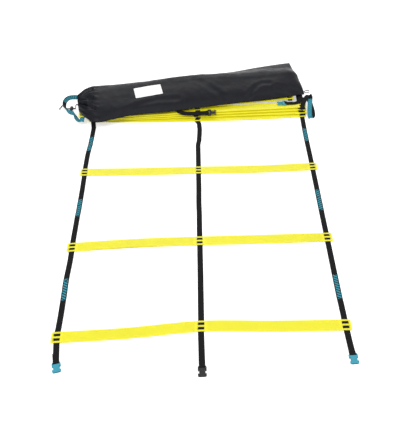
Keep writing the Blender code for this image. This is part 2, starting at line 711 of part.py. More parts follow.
def plug_mesh():
    """Male half: webbing bar and base, two barbed arms and a guide tongue."""
    half = BUCKLE_WIDTH / 2
    low = -BUCKLE_BAR_DEEP - BUCKLE_SLOT - PLUG_BASE
    outline = rounded_outline((-half, low), (half, BUCKLE_BAR_DEEP), PLUG_BASE_CORNER_R)
    bm = plate_bmesh(outline, -PLUG_THICK / 2, PLUG_THICK / 2)
    round_level_edges(bm, BUCKLE_EDGE, (-PLUG_THICK / 2, PLUG_THICK / 2))
    base = mesh_from(bm)
    blade = PLUG_BLADE_THICK / 2
    arms = [mesh_from(plate_bmesh(arm_outline(side), -blade, blade)) for side in (-1, 1)]
    root_y = low + PLUG_BASE / 2
    tongue = box_mesh([(
        (-PLUG_TONGUE / 2, low - PLUG_REACH + PLUG_TONGUE_SHORT, -blade),
        (PLUG_TONGUE / 2, root_y, blade))])
    whole = carve(base, arms + [tongue], "UNION")
    return carve(whole, buckle_eye_cutters(PLUG_THICK))


def make_buckles(root, teal, black):
    socket = socket_mesh()
    plug = plug_mesh()
    for side in SIDES:
        finish = black if side == "centre" else teal
        centre = Vector((SIDES[side] * STRAP_PITCH, -RUNG_BREADTH / 2 - NEAR_TAIL[side], SOCKET_THICK / 2))
        place, angle = tail_place(side, centre)
        part = add_object(f"socket_{side}", socket.copy(), finish, root)
        part.location = place
        part.rotation_euler = (0, 0, angle)
        bar, turn = tail_stations(side)[1:]
        part = add_object(f"plug_{side}", plug.copy(), finish, root)
        part.location = bar
        part.rotation_euler = turn
    for mesh in (socket, plug):
        bpy.data.meshes.remove(mesh)


def bag_frame():
    turn = Matrix.Rotation(math.radians(BAG_TURN_DEG), 4, "Z")
    return Matrix.Translation((BAG_CENTRE_X, BAG_CENTRE_Y, 0)) @ turn


def along_bag(shares, u):
    """A share at a place along the bag, smooth through seven even stations."""
    last = len(shares) - 1
    place = min(max((u + BAG_BODY_LEFT) / (BAG_BODY_RIGHT + BAG_BODY_LEFT), 0), 1) * last
    n = min(int(place), last - 1)
    rows = [shares[min(max(n + step, 0), last)] for step in (-1, 0, 1, 2)]
    return through(*rows, place - n)


def bag_seat(u, v):
    """Height of what the bag lies on: the stack, then down behind it."""
    world = bag_frame() @ Vector((u, v, 0))
    t = min(max((world.y - STACK_Y - BAG_DROP_BEHIND) / BAG_DROP_RUN, 0), 1)
    return STACK_TOP + BAG_SEAT_PLAY - BAG_DROP * t * t * (3 - t * 2)


def bag_surface(u, s, upper):
    """A point of the bag: u along it, s from -1 to 1 across it."""
    neck = min(max((-BAG_BODY_LEFT - u) / BAG_NECK, 0), 1) ** 2
    foot = min(max((u - BAG_BODY_RIGHT + BAG_END_TAPER) / BAG_END_TAPER, 0), 1)
    puff = math.sqrt(max(1 - foot * foot, 0)) * (1 - BAG_NECK_LOW * neck)
    wide = BAG_HALF_WIDTH * along_bag(BAG_FAR_SHARES if s > 0 else BAG_NEAR_SHARES, u)
    v = s * wide * (1 - BAG_NECK_NARROW * neck) + BAG_NECK_ASIDE * math.sqrt(neck)
    crest = BAG_HALF_WIDTH * along_bag(BAG_CREST_SHARES, u) / wide
    reach = (s - crest) / (1 - crest) if s > crest else (crest - s) / (1 + crest)
    seat = bag_seat(u, v)
    if upper:
        rise = BAG_CROWN * along_bag(BAG_CROWN_SHARES, u) - BAG_NOSE - BAG_SEAM / 2
        z = BAG_NOSE + BAG_SEAM / 2 + rise * max(1 - reach ** 2.2, 0) ** 0.8 * puff
    else:
        z = BAG_NOSE - BAG_NOSE * math.sqrt(max(1 - s ** 4, 0)) * min(puff * 2, 1)
    return bag_frame() @ Vector((u, v, seat + z))


def bag_mesh():
    end_steps = (0.0, 0.45, 0.75, 0.92, 1.0)
    places = [-BAG_BODY_LEFT - BAG_NECK * t for t in reversed((0.0, 0.25, 0.5, 0.75, 1.0))]
    first = -BAG_BODY_LEFT
    last = BAG_BODY_RIGHT - BAG_END_TAPER
    places += [first + (last - first) * n / 12 for n in range(1, 12)]
    places += [last + BAG_END_TAPER * t for t in end_steps]
    half = BAG_RING_POINTS // 2
    bm = bmesh.new()
    rings = []
    for u in places:
        ring = []
        for n in range(BAG_RING_POINTS):
            turn = math.pi * n / half
            ring.append(bm.verts.new(bag_surface(u, math.cos(turn), n < half)))
        rings.append(ring)
    for ring, following in zip(rings, rings[1:]):
        for n in range(BAG_RING_POINTS):
            m = (n + 1) % BAG_RING_POINTS
            bm.faces.new((ring[n], ring[m], following[m], following[n]))
    bm.faces.new(rings[0])
    bm.faces.new(reversed(rings[-1]))
    return mesh_from(bm)


def label_mesh():
    """A thin sewn patch that follows the bag's upper side."""
    bm = bmesh.new()
    columns, rows = 10, 6
    turn = Matrix.Rotation(math.radians(LABEL_TURN_DEG), 2)
    layers = []
    for lift in (LABEL_GAP, LABEL_GAP + LABEL_THICK):
        grid = []
        for i in range(columns + 1):
            line = []
            for j in range(rows + 1):
                offset = turn @ Vector((LABEL_LENGTH * (i / columns - 0.5), LABEL_BREADTH * (j / rows - 0.5)))
                u = LABEL_U + offset.x
                v = LABEL_V + offset.y
                shares = BAG_FAR_SHARES if v > 0 else BAG_NEAR_SHARES
                point = bag_surface(u, v / (BAG_HALF_WIDTH * along_bag(shares, u)), True)
                line.append(bm.verts.new(point + Vector((0, 0, lift))))
            grid.append(line)
        layers.append(grid)
    low, high = layers
    for i in range(columns):
        for j in range(rows):
            bm.faces.new((high[i][j], high[i + 1][j], high[i + 1][j + 1], high[i][j + 1]))
            bm.faces.new((low[i][j + 1], low[i + 1][j + 1], low[i + 1][j], low[i][j]))
    rim = [(i, 0) for i in range(columns)] + [(columns, j) for j in range(rows)]
    rim += [(i, rows) for i in range(columns, 0, -1)] + [(0, j) for j in range(rows, 0, -1)]
    for (a, b), (c, d) in zip(rim, rim[1:] + rim[:1]):
        bm.faces.new((low[a][b], low[c][d], high[c][d], high[a][b]))
    return mesh_from(bm)


def hang_loop_mesh():
    """Tape doubled into a small loop, sewn into the seam at the bag's foot."""
    frame = bag_frame()
    seam = bag_surface(BAG_BODY_RIGHT, LOOP_V / (BAG_HALF_WIDTH * BAG_NEAR_SHARES[-1]), True)
    height = seam.z - BAG_SEAM / 2
    start = BAG_BODY_RIGHT + BODY_GAP * 2
    half = LOOP_INNER / 2
    route = [(start, -LOOP_TAPE_THICK), (start + LOOP_REACH * 0.35, -half)]
    for step in range(9):
        turn = math.radians(-90 + 180 * step / 8)
        route.append((start + LOOP_REACH - half + half * math.cos(turn), half * math.sin(turn)))
    route += [(start + LOOP_REACH * 0.35, half), (start, LOOP_TAPE_THICK)]
    upright = Vector((0, 0, LOOP_TAPE_WIDTH))
    stations = [(frame @ Vector((u, LOOP_V + v, height)), upright) for u, v in route]
    return ribbon_mesh(stations, LOOP_TAPE_THICK)


# Drawstring: one strand's way from the neck of the bag to the far end of its
# loop, set out from the lock.  The other strand lies beside it.
CORD_KNOTS = (
    (0.0402, -0.0250, 0.0440),
    (0.0330, -0.0210, 0.0430),
    (0.0268, -0.0150, 0.0360),
    (0.0233, -0.0085, 0.0240),
    (0.0205, -0.0030, 0.0125),
    (0.0155, 0.0, CORD_LIE_Z),
    (0.0105, 0.0, CORD_LIE_Z),
    (-0.0150, 0.0, CORD_LIE_Z),
    (-0.0195, 0.0, CORD_LIE_Z),
    (-0.0245, 0.0, 0.0112),
    (-0.0295, 0.0, 0.0188),
    (-0.0360, 0.0, 0.0246),
    (-0.0430, 0.0, 0.0200),
    (-0.0490, 0.0, 0.0115),
)


def cord_route():
    """The whole drawstring: out on one side, round the loop, back on the other."""
    aside = (CORD_DIAMETER + CORD_STRAND_GAP) / 2
    knots = [Vector(k) + Vector((LOCK_X, LOCK_Y, 0)) for k in CORD_KNOTS]
    end = knots[-1]
    bend = []
    for step in range(1, 8):
        turn = math.pi * step / 8
        reach = Vector((-math.sin(turn) * CORD_LOOP_R, 0, -math.sin(turn) * CORD_LOOP_R / 2))
        bend.append(end + reach + Vector((0, math.cos(turn) * CORD_LOOP_R, 0)))
    near, far = [], []
    for n, knot in enumerate(knots):
        spread = aside
        if n == len(knots) - 1:
            spread = CORD_LOOP_R
        if n == len(knots) - 2:
            spread = (aside + CORD_LOOP_R) / 2
        near.append(knot + Vector((0, spread, 0)))
        far.append(knot - Vector((0, spread, 0)))
    return near + bend + far[::-1]


def drawstring(root, material):
    stations = smooth_route([(point, (0, 0, 0)) for point in cord_route()], 2)
    curve = bpy.data.curves.new("drawstring", "CURVE")
    curve.dimensions = "3D"
    curve.bevel_depth = CORD_DIAMETER / 2
    curve.bevel_resolution = 2
    curve.use_fill_caps = True
    spline = curve.splines.new("POLY")
    spline.points.add(len(stations) - 1)
    for point, (place, _) in zip(spline.points, stations):
        point.co = (*place, 1.0)
    curve.materials.append(material)
    ob = bpy.data.objects.new("drawstring", curve)
    ob.parent = root
    bpy.context.scene.collection.objects.link(ob)
    return ob


def cord_slot(extra_half, extra_top, reach):
    """Cutter for the two strands' way through the lock, across its bore."""
    half = (CORD_DIAMETER + CORD_STRAND_GAP / 2) + extra_half
    tall = CORD_DIAMETER / 2 + extra_half
    return box_mesh([((-reach, -tall, LOCK_CORD_AT - half), (reach, tall, LOCK_CORD_AT + half + extra_top))])


def round_bar(radius, low, high):
    bm = bmesh.new()
    bmesh.ops.create_cone(
        bm, cap_ends=True, segments=20, radius1=radius, radius2=radius, depth=high - low,
        matrix=Matrix.Translation((0, 0, (low + high) / 2)))
    return bm


def lock_body_mesh():
    """Barrel of the cord lock: a cord slot through it and a bore from one end."""
    half_x = LOCK_LENGTH / 2
    half_y = LOCK_HEIGHT / 2
    bm = plate_bmesh(rounded_outline((-half_x, -half_y), (half_x, half_y), LOCK_CORNER_R), 0, LOCK_TALL)
    round_level_edges(bm, BUCKLE_EDGE, (0, LOCK_TALL))
    slot = cord_slot(LOCK_SLOT_PLAY, 0, half_x + CUT_OVERRUN)
    bore = mesh_from(round_bar(LOCK_BORE_R, LOCK_BORE_FLOOR, LOCK_TALL + CUT_OVERRUN))
    return carve(mesh_from(bm), [slot, bore])


def plunger_foot():
    return LOCK_CORD_AT - CORD_DIAMETER - CORD_STRAND_GAP / 2 - LOCK_SLOT_PLAY - BUTTON_FOOT


def button_mesh():
    """Plunger with its own cord slot, long enough for the press."""
    radius = LOCK_BORE_R - BUTTON_PLAY
    top = LOCK_TALL + BUTTON_STAND
    bm = round_bar(radius, plunger_foot(), top)
    round_level_edges(bm, BUCKLE_EDGE, (top,))
    return carve(mesh_from(bm), [cord_slot(LOCK_SLOT_PLAY, BUTTON_TRAVEL, LOCK_LENGTH)])


def spring_mesh(low, high):
    """Round-wire coil with flat-lying ends, as one swept tube."""
    bm = bmesh.new()
    rings = []
    steps = 10 * SPRING_TURNS
    wire = SPRING_WIRE / 2
    for step in range(steps + 1):
        share = step / steps
        turn = math.tau * SPRING_TURNS * share
        out = Vector((math.cos(turn), math.sin(turn), 0))
        centre = out * SPRING_R + Vector((0, 0, low + wire + (high - low - wire * 2) * share))
        ring = []
        for n in range(6):
            around = math.tau * n / 6
            rim = out * math.cos(around) * wire
            rim.z = math.sin(around) * wire
            ring.append(bm.verts.new(centre + rim))
        rings.append(ring)
    for ring, following in zip(rings, rings[1:]):
        for n in range(6):
            m = (n + 1) % 6
            bm.faces.new((ring[n], ring[m], following[m], following[n]))
    bm.faces.new(rings[0])
    bm.faces.new(reversed(rings[-1]))
    return mesh_from(bm)


def make_cord_lock(root, black, steel):
    body = add_object("cord_lock_body", lock_body_mesh(), black, root)
    body.location = (LOCK_X, LOCK_Y + LOCK_CORD_AT, CORD_LIE_Z)
    body.rotation_euler = (math.pi / 2, 0, 0)
    add_object("cord_lock_button", button_mesh(), black, body)
    low = LOCK_BORE_FLOOR + BODY_GAP
    add_object("cord_lock_spring", spring_mesh(low, plunger_foot() - BODY_GAP), steel, body)


def make_bag(root, cloth, white):
    add_object("bag_body", bag_mesh(), cloth, root, smooth_deg=60.0)
    add_object("bag_label", label_mesh(), white, root)
    add_object("bag_hang_loop", hang_loop_mesh(), cloth, root)


def centre_on_floor(root):
    """Puts the middle of the footprint, free cord and its lock aside, at the origin."""
    bpy.context.view_layer.update()
    depsgraph = bpy.context.evaluated_depsgraph_get()
    low = Vector((math.inf,) * 3)
    high = Vector((-math.inf,) * 3)
    for ob in bpy.data.objects:
        if ob.type == "MESH" and not ob.name.startswith("cord_lock"):
            for vert in ob.evaluated_get(depsgraph).data.vertices:
                place = ob.matrix_world @ vert.co
                low = Vector(map(min, low, place))
                high = Vector(map(max, high, place))
    root.location = -(low.x + high.x) / 2, -(low.y + high.y) / 2, -low.z


def build():
    clear_scene()
    root = bpy.data.objects.new("ladder", None)
    bpy.context.scene.collection.objects.link(root)
    yellow = finish_material("rung_yellow", (0.87, 0.80, 0.02), 0.42)
    webbing = finish_material("webbing_black", (0.022, 0.022, 0.024), 0.85)
    teal = finish_material("buckle_teal", (0.06, 0.36, 0.48), 0.40)
    black = finish_material("buckle_black", (0.020, 0.020, 0.021), 0.45)
    cloth = finish_material("bag_nylon", (0.030, 0.031, 0.036), 0.60)
    white = finish_material("label_white", (0.85, 0.85, 0.84), 0.55)
    cord = finish_material("cord_black", (0.018, 0.018, 0.018), 0.80)
    steel = finish_material("spring_steel", (0.60, 0.60, 0.62), 0.30, 1.0)
    make_rungs(root, yellow)
    for side in SIDES:
        near_strap(side, root, webbing)
        plain_strap(side, 2, FOLD_Y["near"], FOLD_Y["middle"], root, webbing)
        plain_strap(side, 3, FOLD_Y["middle"], FOLD_Y["far"], root, webbing)
        stack_strap(side, root, webbing)
    make_buckles(root, teal, black)
    make_bag(root, cloth, white)
    drawstring(root, cord)
    make_cord_lock(root, black, steel)
    centre_on_floor(root)
    print("ladder origin in laying-out coordinates:", [round(-c, 6) for c in root.location])


build()
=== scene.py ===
import math

import bmesh
import bpy
from mathutils import Matrix, Vector, noise


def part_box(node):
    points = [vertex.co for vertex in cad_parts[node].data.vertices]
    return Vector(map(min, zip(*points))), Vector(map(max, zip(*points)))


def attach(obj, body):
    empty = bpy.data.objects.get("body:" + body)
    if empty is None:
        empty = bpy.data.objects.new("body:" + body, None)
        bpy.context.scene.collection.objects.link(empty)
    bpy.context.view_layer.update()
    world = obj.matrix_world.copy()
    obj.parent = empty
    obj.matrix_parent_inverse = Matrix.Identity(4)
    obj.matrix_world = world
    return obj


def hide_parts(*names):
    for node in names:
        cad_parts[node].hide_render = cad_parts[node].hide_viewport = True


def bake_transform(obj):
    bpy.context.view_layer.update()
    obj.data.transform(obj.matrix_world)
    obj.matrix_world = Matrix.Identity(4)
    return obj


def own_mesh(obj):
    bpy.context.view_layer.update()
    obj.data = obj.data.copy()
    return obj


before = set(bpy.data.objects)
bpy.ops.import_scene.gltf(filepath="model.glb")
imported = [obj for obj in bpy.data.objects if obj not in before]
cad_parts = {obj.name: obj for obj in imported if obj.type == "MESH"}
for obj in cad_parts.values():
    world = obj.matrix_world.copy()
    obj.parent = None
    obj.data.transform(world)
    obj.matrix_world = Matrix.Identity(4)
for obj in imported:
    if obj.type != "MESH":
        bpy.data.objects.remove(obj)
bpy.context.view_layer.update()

# Viewpoint.  The ladder is seen from above its buckle end, the lens aimed
# about halfway along the laid-out part and tipped a little to one side.
NEAR_FOLD = 0.19715
LENS = 52.18
SENSOR = 36.0
CAMERA_AT = (0.0433, -1.0093, 1.6244)
CAMERA_TURNS = (48.0, -1.068, 2.805)
lane_low, lane_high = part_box("strap_centre_2")
plan_x = (lane_low.x + lane_high.x) / 2
plan_y = lane_low.y - NEAR_FOLD


def laid(x, y, z):
    """A place measured from the middle of the nearest rung, on the floor."""
    return Vector((x + plan_x, y + plan_y, z))


lens = bpy.data.cameras.new("camera")
lens.sensor_fit = "HORIZONTAL"
lens.sensor_width = SENSOR
lens.lens = LENS
camera = bpy.data.objects.new("camera", lens)
bpy.context.scene.collection.objects.link(camera)
pitch, yaw, roll = (math.radians(a) for a in CAMERA_TURNS)
ahead = Vector((math.sin(yaw) * math.cos(pitch), math.cos(yaw) * math.cos(pitch), -math.sin(pitch)))
level = Vector((math.cos(yaw), -math.sin(yaw), 0))
foot = ahead.cross(level)
across = level * math.cos(roll) + foot * math.sin(roll)
upward = level * math.sin(roll) - foot * math.cos(roll)
camera.matrix_world = Matrix((across, upward, -ahead)).transposed().to_4x4()
camera.location = laid(*CAMERA_AT)
bpy.context.scene.camera = camera


# Drawstring.  Three-millimetre braided polyester cord, one length that comes
# out of the bag's neck, runs through the spring lock as two strands and ends
# in a loop that hangs over the loose webbing.
CORD_THICK = 0.003
STRANDS_APART = 0.004
CORD_LOOP = 0.007
CORD_TURN_STEPS = 8
BRAID_STRANDS = 320.0
BRAID_PITCH = 0.004
BRAID_BLACK = (0.030, 0.030, 0.032)
LOCK_LINE = 1.178
LOCK_MIDDLE = 0.0068
cord_way = (
    (-0.5288, 1.1530, 0.0440), (-0.5360, 1.1570, 0.0430), (-0.5422, 1.1630, 0.0360),
    (-0.5457, 1.1695, 0.0240), (-0.5485, 1.1750, 0.0125),
    (-0.5535, LOCK_LINE, LOCK_MIDDLE), (-0.5585, LOCK_LINE, LOCK_MIDDLE),
    (-0.5840, LOCK_LINE, LOCK_MIDDLE), (-0.5885, LOCK_LINE, LOCK_MIDDLE),
    (-0.5935, LOCK_LINE, 0.0112), (-0.5985, LOCK_LINE, 0.0188), (-0.6050, LOCK_LINE, 0.0246),
    (-0.6120, LOCK_LINE, 0.0200), (-0.6180, LOCK_LINE, 0.0115),
)


def eased(points, steps):
    """Points of a smooth line through given ones."""
    out = []
    for n in range(len(points) - 1):
        a, b = points[max(n - 1, 0)], points[n]
        c, d = points[n + 1], points[min(n + 2, len(points) - 1)]
        for step in range(steps):
            t = step / steps
            out.append((b * 2 + (c - a) * t + (a * 2 - b * 5 + c * 4 - d) * t ** 2
                        + (b * 3 - a - c * 3 + d) * t ** 3) / 2)
    return out + [points[-1]]


def drawstring_line():
    """Out from the bag through the lock, round the loop, and back beside itself."""
    knots = [laid(*k) for k in cord_way]
    spreads = [STRANDS_APART / 2] * (len(knots) - 2) + [(STRANDS_APART / 2 + CORD_LOOP) / 2, CORD_LOOP]
    near = [knot + Vector((0, spread, 0)) for knot, spread in zip(knots, spreads)]
    far = [knot - Vector((0, spread, 0)) for knot, spread in zip(knots, spreads)]
    bend = []
    for step in range(1, CORD_TURN_STEPS):
        turn = math.pi * step / CORD_TURN_STEPS
        drop = math.sin(turn) * CORD_LOOP
        bend.append(knots[-1] + Vector((-drop, math.cos(turn) * CORD_LOOP, -drop / 2)))
    return eased(near + bend + far[::-1], 3)


def into_piece(name, bm, sharp=None):
    """The bmesh as a piece of its own, smooth but for edges sharper than an angle."""
    mesh = bpy.data.meshes.new(name)
    bm.to_mesh(mesh)
    bm.free()
    mesh.shade_smooth()
    if sharp:
        mesh.set_sharp_from_angle(angle=math.radians(sharp))
    piece = bpy.data.objects.new(name, mesh)
    bpy.context.scene.collection.objects.link(piece)
    return piece


def lofted(name, rings, marks=None, sharp=50.0):
    """Extrudes a ring of points from place to place, its UV map in metres."""
    bm = bmesh.new()
    uv = bm.loops.layers.uv.new("along")
    printed = bm.verts.layers.float.new("printed")
    count = len(rings[0])
    girth, metres = [0.0], [0.0]
    wide = max(rings, key=lambda r: sum((r[n] - r[n - 1]).length for n in range(count)))
    for n in range(count):
        girth.append(girth[-1] + (wide[(n + 1) % count] - wide[n]).length)
    for a, b in zip(rings, rings[1:]):
        metres.append(metres[-1] + (sum(b, Vector()) - sum(a, Vector())).length / count)
    ring = [bm.verts.new(co) for co in rings[0]]
    bm.faces.new(ring)
    for row, places in enumerate(rings[1:]):
        edges = [bm.edges.get((ring[n], ring[(n + 1) % count])) for n in range(count)]
        grown = bmesh.ops.extrude_edge_only(bm, edges=edges)["geom"]
        fresh = {g for g in grown if isinstance(g, bmesh.types.BMVert)}
        following = [next(e.other_vert(v) for e in v.link_edges if e.other_vert(v) in fresh) for v in ring]
        order = {v: (n, metres[row]) for n, v in enumerate(ring)}
        order.update({v: (n, metres[row + 1]) for n, v in enumerate(following)})
        for vert, co in zip(following, places):
            vert.co = co
        for face in grown:
            if isinstance(face, bmesh.types.BMFace):
                closing = {order[v][0] for v in face.verts} == {0, count - 1}
                for loop in face.loops:
                    n, run = order[loop.vert]
                    loop[uv].uv = (girth[count] if closing and n == 0 else girth[n], run)
        if marks:
            for vert in following:
                vert[printed] = marks[row + 1]
            for vert in ring if row == 0 else ():
                vert[printed] = marks[0]
        ring = following
    bm.faces.new(reversed(ring))
    bmesh.ops.recalc_face_normals(bm, faces=bm.faces)
    return into_piece(name, bm, sharp)


def swept(name, places, section, marks=None):
    """A closed section carried along places of a point, a side and an up."""
    rings = [[middle + side * s + up * t for s, t in section] for middle, side, up in places]
    return lofted(name, rings, marks)


def round_section(radius, sides=12):
    turns = [math.tau * n / sides for n in range(sides)]
    return [(radius * math.cos(turn), radius * math.sin(turn)) for turn in turns]


def framed(points, sideways):
    """Each point with its unit sideways and upward directions."""
    places = []
    for n, point in enumerate(points):
        course = (points[min(n + 1, len(points) - 1)] - points[max(n - 1, 0)]).normalized()
        side = sideways[n] if isinstance(sideways, list) else sideways
        side = (side - course * course.dot(side)).normalized()
        places.append((point, side, course.cross(side)))
    return places


def effect(name, inputs, outputs):
    """A node group with named sockets, and its input and output nodes."""
    group = bpy.data.node_groups.new(name, "ShaderNodeTree")
    for label, kind, value in inputs:
        socket = group.interface.new_socket(label, in_out="INPUT", socket_type=kind)
        if value is not None:
            socket.default_value = value
    for label, kind in outputs:
        group.interface.new_socket(label, in_out="OUTPUT", socket_type=kind)
    return group, group.nodes.new("NodeGroupInput"), group.nodes.new("NodeGroupOutput")


def node(tree, kind, **settings):
    """A new node with its settings, and its sockets by name or number."""
    made = tree.nodes.new("ShaderNode" + kind)
    for key, value in settings.items():
        if key.startswith("in_"):
            label = key[3:]
            made.inputs[int(label) if label.isdigit() else label.replace("_", " ")].default_value = value
        else:
            setattr(made, key, value)
    return made


def mixed(group, operation, a, b):
    """One Math node on two sockets or plain numbers."""
    step = node(group, "Math", operation=operation)
    for socket, value in zip(step.inputs, (a, b)):
        if isinstance(value, float):
            socket.default_value = value
        else:
            group.links.new(value, socket)
    return step.outputs[0]


def finish(name, colour, roughness, **shader):
    """A material whose Principled shader holds its plain values."""
    material = bpy.data.materials.new(name)
    material.use_nodes = True
    principled = material.node_tree.nodes["Principled BSDF"]
    principled.inputs["Base Color"].default_value = (*colour, 1.0)
    principled.inputs["Roughness"].default_value = roughness
    for label, value in shader.items():
        principled.inputs[label.replace("_", " ")].default_value = value
    return material, material.node_tree, principled


braid, braid_in, braid_out = effect(
    "braid", [("Vector", "NodeSocketVector", None), ("Pitch", "NodeSocketFloat", BRAID_PITCH)],
    [("Height", "NodeSocketFloat"), ("Shade", "NodeSocketFloat")])
braid_parts = node(braid, "SeparateXYZ")
braid.links.new(braid_in.outputs["Vector"], braid_parts.inputs[0])
strands = []
for turn in (1.0, -1.0):
    around = mixed(braid, "MULTIPLY", braid_parts.outputs[0], turn * BRAID_STRANDS * math.tau / 3.0)
    run = mixed(braid, "DIVIDE", braid_parts.outputs[1], braid_in.outputs["Pitch"])
    wave = node(braid, "Math", operation="SINE")
    braid.links.new(mixed(braid, "ADD", around, mixed(braid, "MULTIPLY", run, math.tau)), wave.inputs[0])
    strands.append(wave.outputs[0])
over = mixed(braid, "MAXIMUM", *strands)
# Painted shade: the cord's colour is darker in the grooves between the strands and full where they stand
# highest, following the same height as the bump.
painted_braid_shade = node(braid, "MapRange", in_From_Min=-0.5, in_From_Max=1.0, in_To_Min=0.35, in_To_Max=1.0)
braid.links.new(over, painted_braid_shade.inputs[0])
braid.links.new(over, braid_out.inputs["Height"])
braid.links.new(painted_braid_shade.outputs[0], braid_out.inputs["Shade"])

cord_finish, tree, shader = finish("drawstring_braid", (0.02, 0.02, 0.021), 0.75)
where = node(tree, "UVMap", uv_map="along")
weave = node(tree, "Group", node_tree=braid)
# The cord's black, multiplied by the strands' painted shade.
tint = node(tree, "Mix", data_type="RGBA", blend_type="MULTIPLY", in_0=1.0)
tint.inputs[6].default_value = (*BRAID_BLACK, 1.0)
bump = node(tree, "Bump", in_Strength=0.6, in_Distance=0.0004)
tree.links.new(where.outputs[0], weave.inputs["Vector"])
tree.links.new(weave.outputs["Shade"], tint.inputs[7])
tree.links.new(tint.outputs[2], shader.inputs["Base Color"])
tree.links.new(weave.outputs["Height"], bump.inputs["Height"])
tree.links.new(bump.outputs[0], shader.inputs["Normal"])

cord_line = drawstring_line()
cord_side = Vector((0.2, 0.3, 1))
drawstring = swept("drawstring_braid", framed(cord_line, cord_side), round_section(CORD_THICK / 2))
drawstring.data.materials.append(cord_finish)

# The lock is closed by a short spring of drawn steel wire, which shortens as
# the button is pressed.
SPRING_TURNS = 4
SPRING_STEPS = 40 * SPRING_TURNS
SPRING_WIRE = 0.0005
coil_low, coil_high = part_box("cord_lock_spring")
coil_middle = (coil_low + coil_high) / 2
button_low, button_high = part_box("cord_lock_button")
towards = 1 if (button_low.y + button_high.y) / 2 > coil_middle.y else -1
coil_tall = coil_high.y - coil_low.y
coil_foot = coil_middle - Vector((0, towards * coil_tall / 2, 0))
coil_round = (coil_high.x - coil_low.x - SPRING_WIRE) / 2
coil_line, coil_sides = [], []
for n in range(SPRING_STEPS + 1):
    share = n / SPRING_STEPS
    turn = math.tau * SPRING_TURNS * share
    aside = Vector((math.cos(turn), 0, math.sin(turn)))
    climb = SPRING_WIRE / 2 + (coil_tall - SPRING_WIRE) * share
    coil_line.append(coil_foot + aside * coil_round + Vector((0, towards * climb, 0)))
    coil_sides.append(aside)
spring = swept("cord_lock_coil", framed(coil_line, coil_sides), round_section(SPRING_WIRE / 2, 8))
spring_wire, tree, shader = finish("spring_wire_drawn", (0.60, 0.60, 0.62), 0.30, Metallic=1.0)
where = node(tree, "UVMap", uv_map="along")
drawn = node(tree, "TexNoise", in_Scale=900.0, in_Detail=2.0)
streaks = node(tree, "Mapping")
streaks.inputs["Scale"].default_value = (6.0, 0.4, 1.0)
wiped = node(tree, "MapRange", in_From_Min=0.3, in_From_Max=0.7, in_To_Min=0.22, in_To_Max=0.42)
tree.links.new(where.outputs[0], streaks.inputs[0])
tree.links.new(streaks.outputs[0], drawn.inputs["Vector"])
tree.links.new(drawn.outputs[0], wiped.inputs[0])
tree.links.new(wiped.outputs[0], shader.inputs["Roughness"])
spring.data.materials.append(spring_wire)
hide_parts("cord_lock_spring")
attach(spring, "cord_lock")
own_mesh(spring)

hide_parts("drawstring")
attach(drawstring, "bag")


# Rungs.  Flat channels injection-moulded in yellow polypropylene, ribbed
# underneath, with a strap station at each end and in the middle.
RUNG_YELLOW = (0.79, 0.705, 0.009)
RUNG_COUNT = 8
moulding, moulding_in, moulding_out = effect(
    "moulded_plastic",
    [("Vector", "NodeSocketVector", None), ("Colour", "NodeSocketColor", (0.5, 0.5, 0.5, 1.0)),
     ("Roughness", "NodeSocketFloat", 0.4), ("Grain", "NodeSocketFloat", 2500.0)],
    [("Colour", "NodeSocketColor"), ("Roughness", "NodeSocketFloat"), ("Height", "NodeSocketFloat")])
flow = node(moulding, "TexNoise", in_Scale=9.0, in_Detail=3.0, in_Roughness=0.55)
grain = node(moulding, "TexNoise", in_Detail=2.0, in_Roughness=0.6)
scuff = node(moulding, "TexNoise", in_Scale=120.0, in_Detail=4.0, in_Roughness=0.7)
cloud = node(moulding, "MapRange", in_From_Min=0.3, in_From_Max=0.7, in_To_Min=0.96, in_To_Max=1.03)
mottled = node(moulding, "VectorMath", operation="SCALE")
rub = node(moulding, "MapRange", in_From_Min=0.62, in_From_Max=0.75, in_To_Min=0.0, in_To_Max=0.10)
for texture in (flow, grain, scuff):
    moulding.links.new(moulding_in.outputs["Vector"], texture.inputs["Vector"])
moulding.links.new(moulding_in.outputs["Grain"], grain.inputs["Scale"])
moulding.links.new(flow.outputs[0], cloud.inputs[0])
moulding.links.new(moulding_in.outputs["Colour"], mottled.inputs[0])
moulding.links.new(cloud.outputs[0], mottled.inputs["Scale"])
moulding.links.new(scuff.outputs[0], rub.inputs[0])
dull = mixed(moulding, "ADD", moulding_in.outputs["Roughness"], rub.outputs[0])
pitted = mixed(moulding, "ADD", mixed(moulding, "MULTIPLY", grain.outputs[0], 0.2), scuff.outputs[0])
moulding.links.new(mottled.outputs[0], moulding_out.inputs["Colour"])
moulding.links.new(dull, moulding_out.inputs["Roughness"])
moulding.links.new(pitted, moulding_out.inputs["Height"])


def moulded(name, colour, roughness, relief):
    """Moulded plastic, a little cloudy and scuffed, its grain a given height."""
    material, tree, shader = finish(name, colour, roughness)
    where = node(tree, "TexCoord")
    skin = node(tree, "Group", node_tree=moulding)
    skin.inputs["Colour"].default_value = (*colour, 1.0)
    skin.inputs["Roughness"].default_value = roughness
    bump = node(tree, "Bump", in_Strength=0.15, in_Distance=relief)
    tree.links.new(where.outputs["Object"], skin.inputs["Vector"])
    tree.links.new(skin.outputs["Colour"], shader.inputs["Base Color"])
    tree.links.new(skin.outputs["Roughness"], shader.inputs["Roughness"])
    tree.links.new(skin.outputs["Height"], bump.inputs["Height"])
    tree.links.new(bump.outputs[0], shader.inputs["Normal"])
    return material


def dress(name, material):
    """Gives one CAD node its finish."""
    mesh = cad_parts[name].data
    mesh.materials.clear()
    mesh.materials.append(material)


rung_yellow = moulded("rung_yellow_moulded", RUNG_YELLOW, 0.38, 0.0003)
glow_through = rung_yellow.node_tree.nodes["Principled BSDF"].inputs
glow_through["Subsurface Weight"].default_value = 0.45
glow_through["Subsurface Radius"].default_value = (1.0, 0.85, 0.12)
glow_through["Subsurface Scale"].default_value = 0.012
for number in range(1, RUNG_COUNT + 1):
    dress(f"rung_{number}", rung_yellow)


